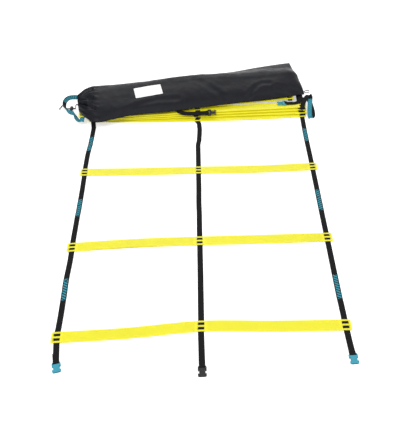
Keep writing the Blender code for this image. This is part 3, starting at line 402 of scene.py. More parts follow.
# Buckles.  Side-release buckles for twenty-millimetre webbing, moulded in
# acetal, teal on the outer straps and black on the middle one.  The cord
# lock's barrel and button are of the same black.
BUCKLE_TEAL = (0.036, 0.27, 0.36)
BUCKLE_BLACK = (0.009, 0.009, 0.010)
buckle_teal = moulded("buckle_teal_moulded", BUCKLE_TEAL, 0.42, 0.0002)
buckle_black = moulded("buckle_black_moulded", BUCKLE_BLACK, 0.46, 0.0002)
for plastic in (buckle_teal, buckle_black):
    plastic.node_tree.nodes["Principled BSDF"].inputs["Specular IOR Level"].default_value = 0.3
for side in ("left", "centre", "right"):
    for half in ("socket", "plug"):
        dress(f"{half}_{side}", buckle_black if side == "centre" else buckle_teal)
for part in ("cord_lock_body", "cord_lock_button"):
    dress(part, buckle_black)


# Webbing.  Twenty-millimetre polypropylene webbing with woven selvedges, one
# length down each side and one down the middle.  It runs through every rung,
# and the outer two are printed with slanted bars between the rungs.
WEB_WIDE = 0.020
WEB_THICK = 0.0014
WEB_GIRTH = 0.0412
LANE = 0.460
RIDE_HEIGHT = 0.0025
FOLD_AT = (0.197, 0.557, 0.925)
BEND_REACH = 0.010
BEND_STEPS = 12
SEAM_PAST_FOLD = 0.012
SOCKET_ARM = 0.00425
EYE_RADIUS = 0.00289
SEWN_FLARE = 0.012
SEWN_FOLD = 0.034
NEAR_SEWN_SHARE = 0.65
SEWN_GAP = 0.0003
SEAM_GAP = 0.00015
RUNG_HALF = 0.020
BODY_END = -0.012
TAIL_START = -0.014
TAIL_LEAD = 0.004
TAIL_BEND_AT = -0.048
TAIL_BEND_RUN = 0.022
EYE_STEPS = 12
STRAY_NOISE = 0.0003
LIFT_NOISE = 0.00012
ROLL_NOISE = 0.008
WARP_PITCH = 0.0016
WEFT_PITCH = 0.0018
BAR_PITCH = 0.0105
BAR_LEAN = 0.55
BAR_SHARE = -0.25
PRINT_HALF = 0.0068
WEBBING_BLACK = (0.0085, 0.0085, 0.0095)
PRINT_TEAL = (0.048, 0.29, 0.38)
tail_reach = {"left": 0.086, "centre": 0.113, "right": 0.087}
tail_swing = {"left": 12.0, "centre": 1.0, "right": 2.5}
lane_side = {"left": -1, "centre": 0, "right": 1}
print_runs = {
    "left": ((0.127, 0.219), (0.514, 0.599), (0.8865, 0.978)),
    "right": ((0.102, 0.197), (0.501, 0.607), (0.8995, 0.979)),
    "centre": (),
}

# How far each strap strays to the right of its line, by the place along it.
stray = {
    "left": (
        (-0.03, 0.0), (0.0, 0.0), (0.03, 0.0010), (0.075, 0.0013), (0.139, 0.0006),
        (0.206, -0.001), (0.311, 0.0014), (0.395, 0.0), (0.504, 0.0004), (0.545, 0.0013),
        (0.600, 0.0014), (0.660, 0.0013), (0.720, 0.0007), (0.770, -0.0014), (0.840, -0.001),
        (0.867, -0.0004), (0.896, 0.0013), (0.930, 0.0038), (0.998, 0.0054), (1.036, 0.0060),
        (1.065, 0.0020)),
    "centre": (
        (-0.03, 0.0), (0.0, 0.0), (0.03, 0.0010), (0.153, 0.0014), (0.220, 0.0014),
        (0.290, 0.0014), (0.340, 0.0014), (0.395, 0.001), (0.500, 0.0013), (0.565, 0.0003),
        (0.652, 0.0013), (0.775, 0.0013), (0.896, 0.0014), (0.935, 0.0062), (0.975, 0.0082),
        (1.000, 0.0092), (1.032, 0.0078), (1.065, 0.0020)),
    "right": (
        (-0.03, 0.0), (0.03, 0.0), (0.070, -0.0004), (0.102, -0.0014), (0.167, -0.0014), (0.435, -0.0014),
        (0.585, -0.0014), (0.674, -0.0013), (0.770, -0.0014), (0.945, -0.0020), (1.065, -0.0005)),
}

weave, weave_in, weave_out = effect(
    "webbing_weave", [("Vector", "NodeSocketVector", None)],
    [("Height", "NodeSocketFloat"), ("Shade", "NodeSocketFloat"), ("Bars", "NodeSocketFloat")])
parts = node(weave, "SeparateXYZ")
weave.links.new(weave_in.outputs["Vector"], parts.inputs[0])


def ripple(group, source, pitch):
    """A wave from -1 to 1 that repeats at a pitch in metres."""
    wave = node(group, "Math", operation="SINE")
    group.links.new(mixed(group, "MULTIPLY", source, math.tau / pitch), wave.inputs[0])
    return wave.outputs[0]


warp = ripple(weave, parts.outputs[0], WARP_PITCH)
weft = ripple(weave, parts.outputs[1], WEFT_PITCH)
crossed = mixed(weave, "MULTIPLY", warp, weft)
ribbed = mixed(weave, "MULTIPLY_ADD", crossed, 0.6)
weave.links.new(warp, ribbed.node.inputs[2])
# Painted shade and highlight: the weave's colour is darker in its grooves and lighter on its ribs, following
# the same height as the bump.
painted_weave_shade = node(weave, "MapRange", in_From_Min=-1.4, in_From_Max=1.4, in_To_Min=0.55, in_To_Max=1.25)
weave.links.new(ribbed, painted_weave_shade.inputs[0])
leaning = mixed(weave, "MULTIPLY_ADD", parts.outputs[0], BAR_LEAN)
weave.links.new(parts.outputs[1], leaning.node.inputs[2])
bars = ripple(weave, leaning, BAR_PITCH)
solid = mixed(weave, "GREATER_THAN", bars, BAR_SHARE)
one_face = mixed(weave, "MODULO", parts.outputs[0], WEB_GIRTH / 2)
from_middle = mixed(weave, "SUBTRACT", one_face, WEB_GIRTH / 4)
inner = mixed(weave, "LESS_THAN", mixed(weave, "ABSOLUTE", from_middle, 0.0), PRINT_HALF)
weave.links.new(ribbed, weave_out.inputs["Height"])
weave.links.new(painted_weave_shade.outputs[0], weave_out.inputs["Shade"])
weave.links.new(mixed(weave, "MULTIPLY", solid, inner), weave_out.inputs["Bars"])

webbing, tree, shader = finish("webbing_woven", WEBBING_BLACK, 0.85, Specular_IOR_Level=0.12)
shader.inputs["Sheen Weight"].default_value = 0.012
shader.inputs["Sheen Roughness"].default_value = 0.5
where = node(tree, "UVMap", uv_map="along")
cloth = node(tree, "Group", node_tree=weave)
marked = node(tree, "Attribute", attribute_name="printed")
over_all = node(tree, "Math", operation="SUBTRACT", in_1=1.0, use_clamp=True)
inked = node(tree, "Math", operation="MULTIPLY_ADD", use_clamp=True)
dyed = node(tree, "Mix", data_type="RGBA")
dyed.inputs[6].default_value = (*WEBBING_BLACK, 1.0)
dyed.inputs[7].default_value = (*PRINT_TEAL, 1.0)
# The webbing's dyed colour and print, multiplied by the weave's painted shade and highlight.
painted_weave_shade = node(tree, "Mix", data_type="RGBA", blend_type="MULTIPLY", in_0=1.0)
relief = node(tree, "Bump", in_Strength=0.5, in_Distance=0.0003)
tree.links.new(where.outputs[0], cloth.inputs["Vector"])
tree.links.new(cloth.outputs["Bars"], inked.inputs[0])
tree.links.new(marked.outputs["Fac"], inked.inputs[1])
tree.links.new(marked.outputs["Fac"], over_all.inputs[0])
tree.links.new(over_all.outputs[0], inked.inputs[2])
tree.links.new(inked.outputs[0], dyed.inputs[0])
tree.links.new(dyed.outputs[2], painted_weave_shade.inputs[6])
tree.links.new(cloth.outputs["Shade"], painted_weave_shade.inputs[7])
tree.links.new(painted_weave_shade.outputs[2], shader.inputs["Base Color"])
tree.links.new(cloth.outputs["Height"], relief.inputs["Height"])
tree.links.new(relief.outputs[0], shader.inputs["Normal"])


def web_section():
    """Half a webbing's width of flat, then the rounded selvedge, on both faces."""
    half, thick = WEB_WIDE / 2, WEB_THICK / 2
    shares = ((1.0, 0.0), (0.97, 0.7), (0.90, 1.0), (0.45, 1.0), (0.0, 1.0))
    right = [(half * a, thick * b) for a, b in shares]
    upper = right + [(-x, z) for x, z in reversed(right[:-1])]
    return upper + [(x, -z) for x, z in reversed(upper[1:-1])]


def stretch(y_low, y_high, step=0.006):
    """Evenly spaced stations along a strap."""
    count = max(2, round((y_high - y_low) / step) + 1)
    return [y_low + (y_high - y_low) * n / (count - 1) for n in range(count)]


def printed_at(side, y):
    return float(any(low <= y <= high for low, high in print_runs[side]))


def wander(side, y):
    """How far slack webbing strays between the rungs and inside their slots."""
    knots = stray[side]
    n = max(k for k in range(len(knots) - 1) if knots[k][0] <= max(y, knots[0][0]))
    (y0, a), (y1, b) = knots[n], knots[n + 1]
    t = min(max((y - y0) / (y1 - y0), 0), 1)
    drift = a + (b - a) * t * t * (3 - t * 2)
    drift += noise.noise(Vector((y * 9.0, lane_side[side] * 3.7, 0.4))) * STRAY_NOISE
    lift = noise.noise(Vector((y * 14.0, lane_side[side] * 2.3, 7.1)))
    return Vector((drift, 0, lift * LIFT_NOISE))


def web_places(side, ys):
    """Places of a laid-out strap, each with its width's and its face's direction."""
    places = []
    for y in ys:
        middle = laid(lane_side[side] * LANE, y, RIDE_HEIGHT) + wander(side, y)
        roll = noise.noise(Vector((y * 11.0, lane_side[side] * 5.1, 3.0))) * ROLL_NOISE
        width, face = (math.cos(roll), 0, math.sin(roll)), (-math.sin(roll), 0, math.cos(roll))
        places.append((middle, Vector(width), Vector(face)))
    return places


def web_piece(name, places, marks, node_name):
    """One length of webbing, with its print where the marks say."""
    piece = swept(name, places, web_section(), marks)
    piece.data.materials.append(webbing)
    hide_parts(node_name)
    return piece


def eye(bar_y, bar_z, lie_z, sewn):
    """Webbing led to a buckle's bar, round it and back on itself, sewn down."""
    run = [(bar_y + SEWN_FLARE, lie_z), (bar_y, bar_z - EYE_RADIUS)]
    for step in range(1, EYE_STEPS + 1):
        turn = math.pi * step / EYE_STEPS
        run.append((bar_y - EYE_RADIUS * math.sin(turn), bar_z - EYE_RADIUS * math.cos(turn)))
    upper = lie_z + WEB_THICK + SEWN_GAP
    return run + [(bar_y + SEWN_FLARE + place, upper) for place in sewn]


def tail_places(side):
    """The near end: past the last rung, swinging aside, and sewn round its bar."""
    pivot = laid(lane_side[side] * LANE, TAIL_BEND_AT, 0)
    bar = -RUNG_HALF - tail_reach[side]
    # The first place isn't built: it only gives the strap its course at the rung.
    run = [(bar + SEWN_FLARE + TAIL_LEAD, RIDE_HEIGHT), (TAIL_START, RIDE_HEIGHT)]
    run += eye(bar, SOCKET_ARM, RIDE_HEIGHT, [SEWN_FOLD * n / 6 * NEAR_SEWN_SHARE for n in range(7)])
    points, sides = [], []
    for y, z in run:
        share = min(max((TAIL_BEND_AT - y) / TAIL_BEND_RUN, 0), 1)
        angle = math.radians(tail_swing[side]) * share
        arm = laid(lane_side[side] * LANE, y, 0) - pivot
        point = Matrix.Rotation(angle, 3, "Z") @ arm + pivot
        point.z = z
        points.append(point)
        sides.append(Vector((math.cos(angle), math.sin(angle), 0)))
    return framed(points, sides), [y for y, z in run]


def past_fold(low, fold):
    """Stations up to a fold and a little over it, close together where the webbing bends."""
    bend = [fold + BEND_REACH * n / BEND_STEPS for n in range(1 - BEND_STEPS, BEND_STEPS + 1)]
    return stretch(low, fold - BEND_REACH) + bend + [fold + SEAM_PAST_FOLD - SEAM_GAP]


def bends(piece, side, fold, before, after):
    """Bakes a length of webbing's placement into its mesh."""
    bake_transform(piece)


section_bodies = ("section_near", "section_middle", "section_far", "stack")
for side in lane_side:
    near_ys = past_fold(BODY_END, FOLD_AT[0])[::-1]
    tail, tail_ys = tail_places(side)
    near = [(m, s, -s.cross(Vector((0, -1, 0)))) for m, s, u in web_places(side, near_ys)] + tail[1:]
    marks = [printed_at(side, y) for y in near_ys + tail_ys[1:]]
    first = web_piece(f"webbing_{side}_near", near, marks, f"strap_{side}_1")
    bends(first, side, FOLD_AT[0], *section_bodies[:2])
    for number, (low, high) in enumerate(zip(FOLD_AT, FOLD_AT[1:]), 2):
        ys = past_fold(low + SEAM_PAST_FOLD + SEAM_GAP, high)
        piece = web_piece(
            f"webbing_{side}_span_{number}", web_places(side, ys), [printed_at(side, y) for y in ys],
            f"strap_{side}_{number}")
        bends(piece, side, high, *section_bodies[number - 1:number + 1])


# The rest of each strap stays threaded through the five stacked rungs.  Every
# span is folded flat between its rungs, but one slack span at each side strays
# out of the pile, and the far ends carry the other buckle halves.
FIRST_STACKED = 4
STACK_RISE = 0.0071
STACK_AT = 1.0878
STACK_LEAD = 0.038
MOUTH = 0.023
FOLD_RADIUS = STACK_RISE / 4
WEB_SPAN = STACK_AT / 3
PLUG_BAR = 0.0038
plug_lean = {"centre": 22.0, "right": 0.0}
plug_heading = {"centre": 90.0, "right": -90.0}
KNOT_STEPS = 4
LONGEST_STEP = 0.012
far_reach = {"left": 0.070, "centre": 0.038, "right": 0.038}
# How each stacked rung lies: its shift along and back, and its turn in degrees.
stack_lie = {
    4: (0.0, 0.0, -1.2), 5: (0.004, 0.009, -0.2), 6: (-0.005, 0.015, 0.8),
    7: (0.003, 0.022, 1.4), 8: (-0.046, 0.050, 4.5),
}
first_bow = {"left": 0.00415, "centre": -0.0095, "right": 0.00315}
FLAT = (1, 0, 0)
left_slack = (
    ((-0.459, 1.145, 0.0240), FLAT), ((-0.464, 1.175, 0.0245), (1, 0.1, 0)),
    ((-0.476, 1.203, 0.0262), (0.9, 0.35, 0)), ((-0.497, 1.228, 0.0225), (0.6, 0.3, -0.6)),
    ((-0.520, 1.244, 0.0160), (0.2, -0.2, -0.9)), ((-0.545, 1.2545, 0.0118), (0, -0.45, -0.89)),
    ((-0.570, 1.259, 0.0108), (0.1, -0.45, -0.89)), ((-0.593, 1.254, 0.0104), (0.45, -0.35, -0.82)),
    ((-0.605, 1.233, 0.0094), (0.65, -0.15, -0.75)), ((-0.6055, 1.209, 0.0090), (0.68, 0, -0.73)),
    ((-0.601, 1.186, 0.0094), (0.6, 0.05, -0.8)), ((-0.591, 1.165, 0.0104), (0.3, -0.1, -0.95)),
    ((-0.575, 1.149, 0.0106), (0.05, -0.35, -0.94)), ((-0.5585, 1.140, 0.0110), (0.10, -0.4, -0.88)),
    ((-0.5455, 1.128, 0.0125), (0.45, -0.2, -0.85)), ((-0.5400, 1.109, 0.0140), (0.75, 0.05, -0.6)),
    ((-0.5320, 1.089, 0.0155), (0.95, 0.15, -0.3)), ((-0.5190, 1.072, 0.0175), (1, 0.1, -0.1)),
    ((-0.507, 1.0625, 0.0215), FLAT), ((-0.5048, 1.0625, 0.0262), FLAT), ((-0.504, 1.068, 0.0298), FLAT),
)
right_slack = tuple((place, FLAT) for place in (
    (0.4580, 1.1521, 0.0166), (0.4700, 1.1719, 0.0160), (0.4860, 1.1859, 0.0130), (0.4970, 1.1900, 0.0080),
    (0.5040, 1.1820, 0.0035), (0.5081, 1.1649, 0.0016), (0.5100, 1.1400, 0.0012), (0.5111, 1.1101, 0.0012),
    (0.5100, 1.0821, 0.0012), (0.5051, 1.0620, 0.0014), (0.4980, 1.0525, 0.0035), (0.4931, 1.0535, 0.0075),
    (0.4925, 1.0660, 0.0110), (0.4946, 1.0900, 0.0185), (0.4985, 1.1171, 0.0275), (0.5030, 1.1430, 0.0345),
    (0.5051, 1.1579, 0.0385), (0.5000, 1.1630, 0.0425), (0.4901, 1.1530, 0.0440), (0.4781, 1.1350, 0.0400),
    (0.4680, 1.1150, 0.0350), (0.4635, 1.0980, 0.0320), (0.4629, 1.0885, 0.0305), (0.4629, 1.0856, 0.0272),
    (0.4629, 1.0885, 0.0242),
))
far_tails = {
    "centre": (
        ((-0.050, 1.174, 0.0309), FLAT), ((-0.051, 1.1775, 0.0327), FLAT), ((-0.052, 1.174, 0.03445), FLAT),
        ((-0.063, 1.150, 0.03445), FLAT), ((-0.079, 1.128, 0.03445), (0.95, 0.3, 0)),
        ((-0.0885, 1.110, 0.03445), (0.7, 0.7, 0)), ((-0.080, 1.0955, 0.0325), (0.35, 0.92, 0.2)),
        ((-0.062, 1.0865, 0.0285), (0.05, 0.93, 0.36)), ((-0.040, 1.0838, 0.0262), (0, 0.927, 0.375)),
        ((-0.012, 1.0836, 0.0257), (0, 0.927, 0.375)), ((0.010, 1.0838, 0.0257), (0, 0.927, 0.375)),
    ),
    "right": (
        ((0.4142, 1.209, 0.0311), (0.9, -0.43, 0)), ((0.4255, 1.220, 0.0313), (0.5, -0.87, 0)),
        ((0.4405, 1.2235, 0.0313), (0, -1, 0)), ((0.4535, 1.216, 0.0313), (-0.5, -0.87, 0)),
        ((0.4615, 1.199, 0.0311), (-0.87, -0.5, 0)), ((0.4630, 1.178, 0.0305), (-1, 0, 0)),
        ((0.4610, 1.158, 0.0297), (-1, 0.1, 0)), ((0.4550, 1.143, 0.0287), (-0.85, 0.52, 0)),
        ((0.4440, 1.1318, 0.0280), (-0.45, 0.9, 0)), ((0.4300, 1.128, 0.0277), (0, 1, 0)),
    ),
}
left_tail = (
    (0.0, 0.0309), (0.0105, 0.02948), (0.0182, 0.02238), (0.0203, 0.01159), (0.0252, 0.00477),
    (0.0315, 0.0025))
# Printed stretches of the slack spans, from knot to knot, and how thick the ink is.
slack_ink = {"left": ((3, 9.3, 1.25), (11.6, 22, 1.55)), "right": ((11, 16, 1.6),)}


def stack_mouths(number, side):
    """Middle of a stacked rung's tunnel on one strap, and its front and back."""
    over, back, turn = stack_lie[number]
    along = Vector((math.cos(math.radians(turn)), math.sin(math.radians(turn)), 0))
    out = Vector((-along.y, along.x, 0))
    middle = Vector((over, STACK_AT + back, (number - FIRST_STACKED) * STACK_RISE + RIDE_HEIGHT))
    middle += along * lane_side[side] * LANE
    if number == FIRST_STACKED:
        middle += out * first_bow[side]
    return middle, middle - out * MOUTH, middle + out * MOUTH


def turned_up(x, y, z, facing):
    """A fold that climbs two radii, bulging forwards or back."""
    places = []
    for n in range(9):
        turn = math.pi * n / 8
        rise = FOLD_RADIUS * (1 - math.cos(turn))
        places.append(Vector((x, y + facing * FOLD_RADIUS * math.sin(turn), z + rise)))
    return places


def eased_turned(knots):
    """A smooth run of places and of the way the webbing's width points."""
    places = eased([Vector(k[0]) for k in knots], KNOT_STEPS)
    sides = eased([Vector(k[1]) for k in knots], KNOT_STEPS)
    return [(place, side.normalized()) for place, side in zip(places, sides)]


def plug_turn(side):
    """How the plug at a strap's far end is turned from lying straight out."""
    lean = Matrix.Rotation(math.radians(plug_lean[side]), 3, "X")
    return lean @ Matrix.Rotation(math.radians(plug_heading[side]), 3, "Z")


def far_end(side):
    """Out of the top rung and round the bar of the buckle plug."""
    back = stack_mouths(RUNG_COUNT, side)[2]
    sewn = [(SEWN_FOLD - SEWN_FLARE) * n / 6 for n in range(7)]
    if side == "left":
        run = [(back.y + y, z) for y, z in left_tail]
        bar = back.y + far_reach["left"]
        run += [(-y, z) for y, z in eye(-bar, PLUG_BAR, RIDE_HEIGHT, sewn)]
        return [(Vector((back.x, y, z)), Vector(FLAT)) for y, z in run]
    turn = plug_turn(side)
    across = turn @ Vector((1, 0, 0)) * (-1 if side == "right" else 1)
    start = Vector(far_tails[side][-1][0])
    run = eased_turned(((back, FLAT),) + far_tails[side][:-1] + ((start, tuple(across)),))
    led = eye(-far_reach[side], PLUG_BAR - WEB_THICK / 2, 0.0, sewn)
    return run + [(start + turn @ Vector((0, y, z)), across) for y, z in led]


def stack_run(side):
    """One strap from the far fold through the pile: places, widths and ink."""
    x = lane_side[side] * LANE
    run = [(Vector((x, y, RIDE_HEIGHT)) + wander(side, y), Vector(FLAT), printed_at(side, y))
           for y in stretch(FOLD_AT[2] + SEAM_PAST_FOLD + SEAM_GAP, STACK_AT - STACK_LEAD)]
    run.append((stack_mouths(FIRST_STACKED, side)[1], Vector(FLAT), 0.0))
    for number in range(FIRST_STACKED, RUNG_COUNT):
        here, there = stack_mouths(number, side), stack_mouths(number + 1, side)
        if (side, number) in slack_spans:
            knots = ((here[2], FLAT),) + slack_spans[side, number] + ((there[1], FLAT),)
            for n, (place, wide) in enumerate(eased_turned(knots)):
                knot = n / KNOT_STEPS
                ink = max(dose if low <= knot <= high else 0.0 for low, high, dose in slack_ink[side])
                run.append((place, wide, ink))
            continue
        front = there[1].y - FOLD_RADIUS
        back = (WEB_SPAN + here[0].y + front * 2 - there[0].y) / 2
        folded = [here[2]] + turned_up((here[0].x + there[0].x) / 2, back, here[0].z, 1)
        folded += turned_up(there[1].x, front, here[0].z + FOLD_RADIUS * 2, -1) + [there[1]]
        run += [(place, Vector(FLAT), 0.0) for place in folded]
    return run + [(place, wide, 0.0) for place, wide in far_end(side)]


def drawn_out(run, longest):
    """The same run with no stretch longer than a given one."""
    out = [run[0]]
    for (a, wide_a, ink_a), (b, wide_b, ink_b) in zip(run, run[1:]):
        count = max(1, math.ceil((b - a).length / longest))
        for n in range(1, count + 1):
            t = n / count
            out.append((a.lerp(b, t), wide_a.lerp(wide_b, t).normalized(), ink_a + (ink_b - ink_a) * t))
    return out


slack_spans = {("left", 7): left_slack, ("right", 6): right_slack}
for side in lane_side:
    run = drawn_out(stack_run(side), LONGEST_STEP)
    places = framed([laid(*place) for place, wide, ink in run], [wide for place, wide, ink in run])
    inks = [ink for place, wide, ink in run]
    piece = web_piece(f"webbing_{side}_stack", places, inks, f"strap_{side}_stack")
    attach(piece, "stack")


# Bag.  A drawstring bag of thin charcoal nylon, hemmed and sewn straight at
# its foot and drawn shut at its mouth.  It lies flat across the stack, slack,
# with a soft crest along it and creases running out from the gathered mouth.
BAG_TURN = math.radians(8.4)
BAG_LEFT = -0.455
BAG_FOOT = 0.464
BAG_NECK = 0.082
BAG_TOP = 0.0446
BAG_NOSE = 0.013
BAG_SEAT = 0.03545
BAG_DROOP = 0.0095
BAG_ROUNDING = 0.060
BAG_HEM = 0.002
NECK_PINCH = 0.64
NECK_FLAT = 0.42
NECK_ASIDE = 0.012
PLEAT_DEPTH = 0.0050
PLEATS_FROM = -0.420
PLEATS_RUN = 0.08
CRUMPLE = 0.0040
FINE_CRUMPLE = 0.0011
RIDGE = 0.0022
BAG_AT = (0.005, 1.224)
BAG_AROUND = 96
NECK_STATIONS = 22
BAG_STATIONS = 190
FOOT_STATIONS = 18
SEAT_FALL_FROM = 1.290
SEAT_FALL_RUN = 0.080
SEAT_FALL = 0.014
NYLON_CHARCOAL = (0.0038, 0.0042, 0.0070)
far_edge = (0.125, 0.115, 0.111, 0.126, 0.124, 0.137, 0.143)
near_edge = (0.130, 0.110, 0.117, 0.117, 0.120, 0.123, 0.118)
crest_line = (0.030, 0.040, 0.050, 0.048, 0.030, 0.004, 0.002)
crest_shares = (0.93, 0.93, 0.93, 0.97, 0.93, 1.0, 1.02)
# Creases of the bag: the line of each, how wide it spreads, and how deep it is.
bag_creases = (
    (((0.198, -0.128), (0.222, -0.092), (0.256, -0.058), (0.288, -0.046), (0.318, -0.052)), 0.011, 0.0034),
    (((0.352, -0.082), (0.378, -0.094), (0.400, -0.112), (0.418, -0.126)), 0.012, 0.0030),
    (((0.000, 0.040), (0.030, 0.006), (0.060, -0.034), (0.098, -0.090)), 0.014, 0.0026),
    (((-0.330, -0.100), (-0.270, -0.072), (-0.190, -0.060), (-0.100, -0.066)), 0.013, 0.0022),
    (((-0.537, 0.012), (-0.505, 0.006), (-0.468, -0.004)), 0.0065, 0.0150),
    (((-0.530, -0.012), (-0.500, -0.036), (-0.462, -0.070)), 0.0060, 0.0090),
    (((-0.532, 0.034), (-0.505, 0.054), (-0.468, 0.074)), 0.0060, 0.0085),
)


def along_bag(shares, u):
    """A value of the bag at a place along it, eased between its stations."""
    place = min(max((u - BAG_LEFT) / (BAG_FOOT - BAG_LEFT), 0), 1) * (len(shares) - 1)
    n = min(int(place), len(shares) - 2)
    t = place - n
    a, b = shares[max(n - 1, 0)], shares[n]
    c, d = shares[n + 1], shares[min(n + 2, len(shares) - 1)]
    return (b * 2 + (c - a) * t + (a * 2 - b * 5 + c * 4 - d) * t ** 2
            + (b * 3 - a - c * 3 + d) * t ** 3) / 2


def from_line(u, v, line):
    """Distance from a place on the bag to a crease line."""
    best = 1.0
    for (u0, v0), (u1, v1) in zip(line, line[1:]):
        du, dv = u1 - u0, v1 - v0
        t = min(max(((u - u0) * du + (v - v0) * dv) / (du * du + dv * dv), 0), 1)
        best = min(best, math.hypot(u - u0 - du * t, v - v0 - dv * t))
    return best


def bag_seat(y):
    """Height of what the bag lies on: the stack, falling away behind it."""
    t = min(max((y - plan_y - SEAT_FALL_FROM) / SEAT_FALL_RUN, 0), 1)
    return BAG_SEAT - SEAT_FALL * t * t * (3 - t * 2)


def bag_place(u, s, upper):
    """A point of the bag: u along it from its middle, s from -1 to 1 across."""
    neck = min(max((BAG_LEFT - u) / BAG_NECK, 0), 1)
    foot = min(max((u - BAG_FOOT + BAG_ROUNDING) / BAG_ROUNDING, 0), 1)
    narrow = 1 - NECK_PINCH * neck ** 2
    puff = math.sqrt(max(1 - foot * foot, 0)) * (1 - NECK_FLAT * neck ** 2)
    wide = along_bag(far_edge, u) if s > 0 else along_bag(near_edge, u)
    v = s * wide * narrow + NECK_ASIDE * neck
    crest = along_bag(crest_line, u) / wide
    reach = (s - crest) / (1 - crest) if s > crest else (crest - s) / (1 + crest)
    body = max(1 - reach ** 2.2, 0) ** 0.8
    belly = math.sqrt(max(1 - s ** 4, 0))
    place = laid(BAG_AT[0] + u * math.cos(BAG_TURN) - v * math.sin(BAG_TURN),
                 BAG_AT[1] + u * math.sin(BAG_TURN) + v * math.cos(BAG_TURN), 0)
    rise = BAG_TOP * along_bag(crest_shares, u) - BAG_NOSE
    droop = BAG_DROOP * min(max((-s - 0.45) / 0.5, 0), 1) ** 2
    if upper:
        z = BAG_NOSE - droop + BAG_HEM + (rise + droop - BAG_HEM) * body * puff
        soft = min(body * 2.5, 1)
        for line, spread, depth in bag_creases:
            gap = from_line(u, v, line) / spread
            if gap < 3:
                z -= depth * soft * (math.exp(-gap * gap) - 0.45 * math.exp(-(gap - 1.7) ** 2 * 1.6))
        pleats = math.cos(s * 26 + noise.noise(Vector((u * 20, s * 2, 5.0))) * 2.5)
        z += pleats * soft * PLEAT_DEPTH * min(max((PLEATS_FROM - u) / PLEATS_RUN, 0), 1) ** 1.4
        z += noise.noise(Vector((u * 9, v * 16, 1.7))) * CRUMPLE * soft
        z += noise.noise(Vector((u * 34 + v * 12, v * 30, 4.2))) * FINE_CRUMPLE * soft
        z += RIDGE * math.exp(-(reach * 12) ** 2) * min(max((u + 0.12) / 0.08, 0), 1)
    else:
        z = (BAG_NOSE - droop) * (1 - belly * min(puff * 2, 1))
    place.z = bag_seat(place.y) + z
    return place


straight = BAG_FOOT - BAG_ROUNDING
foot_turns = [math.pi / 2 * n / FOOT_STATIONS for n in range(FOOT_STATIONS + 1)]
bag_stops = [BAG_LEFT - BAG_NECK + BAG_NECK * n / NECK_STATIONS for n in range(NECK_STATIONS)]
bag_stops += [BAG_LEFT + (straight - BAG_LEFT) * n / BAG_STATIONS for n in range(BAG_STATIONS)]
bag_stops += [straight + BAG_ROUNDING * math.sin(turn) for turn in foot_turns]
bag_rings = []
for u in bag_stops:
    ring = []
    for n in range(BAG_AROUND):
        turn = math.tau * n / BAG_AROUND
        ring.append(bag_place(u, math.cos(turn), n < BAG_AROUND / 2))
    bag_rings.append(ring)
bag = lofted("bag_shell", bag_rings, sharp=70.0)

nylon, tree, shader = finish("bag_nylon_plain_weave", NYLON_CHARCOAL, 0.40, Specular_IOR_Level=0.13)
shader.inputs["Sheen Weight"].default_value = 0.012
shader.inputs["Sheen Roughness"].default_value = 0.45
where = node(tree, "TexCoord")
crumple = node(tree, "TexNoise", in_Scale=38.0, in_Detail=5.0, in_Roughness=0.55, in_Distortion=0.4)
threads = node(tree, "TexNoise", in_Scale=2600.0, in_Detail=1.0)
folded = node(tree, "Bump", in_Strength=0.35, in_Distance=0.004)
woven = node(tree, "Bump", in_Strength=0.2, in_Distance=0.0002)
worn = node(tree, "MapRange", in_From_Min=0.3, in_From_Max=0.7, in_To_Min=0.36, in_To_Max=0.50)
# Painted shade and highlight: the nylon's colour is darker in the crumples' hollows and lighter on their
# crests, following the same noise as their bump.
crumple_shade = node(tree, "MapRange", in_From_Min=0.25, in_From_Max=0.75, in_To_Min=0.86, in_To_Max=1.12)
cloth = node(tree, "VectorMath", operation="SCALE")
cloth.inputs[0].default_value = NYLON_CHARCOAL
tree.links.new(where.outputs["Object"], crumple.inputs["Vector"])
tree.links.new(where.outputs["Object"], threads.inputs["Vector"])
tree.links.new(crumple.outputs[0], folded.inputs["Height"])
tree.links.new(threads.outputs[0], woven.inputs["Height"])
tree.links.new(folded.outputs[0], woven.inputs["Normal"])
tree.links.new(woven.outputs[0], shader.inputs["Normal"])
tree.links.new(crumple.outputs[0], worn.inputs[0])
tree.links.new(worn.outputs[0], shader.inputs["Roughness"])
tree.links.new(crumple.outputs[0], crumple_shade.inputs[0])
tree.links.new(crumple_shade.outputs[0], cloth.inputs["Scale"])
tree.links.new(cloth.outputs[0], shader.inputs["Base Color"])
bag.data.materials.append(nylon)
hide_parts("bag_body")
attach(bag, "bag")


def on_bag(u, v, lift):
    """A place on the bag's upper side, measured in metres along and across it."""
    wide = along_bag(far_edge, u) if v > 0 else along_bag(near_edge, u)
    return bag_place(u, v / wide, True) + Vector((0, 0, lift))


# Label.  A plain white patch of woven polyester satin, heat-cut and stitched
# down on the bag all round its border.
STITCH_PITCH = 0.0034
STITCH_LENGTH = 0.0027
STITCH_THICK = 0.0005
STITCH_LIFT = 0.0018
LABEL_SIZE = (0.121, 0.064)
LABEL_AT = (-0.222, 0.002)
LABEL_LIFT = 0.0011
LABEL_THICK = 0.0006
LABEL_WHITE = (0.88, 0.88, 0.87)
BORDER = (0.95, 0.91)
BORDER_STEPS = 16
label_turn = Matrix.Rotation(math.radians(3.8), 2)


def label_spot(across_share, down_share, lift):
    """A place on the label, by shares from -1 to 1 of its two sides."""
    offset = label_turn @ Vector((LABEL_SIZE[0] / 2 * across_share, LABEL_SIZE[1] / 2 * down_share))
    return on_bag(LABEL_AT[0] + offset.x, LABEL_AT[1] + offset.y, lift)


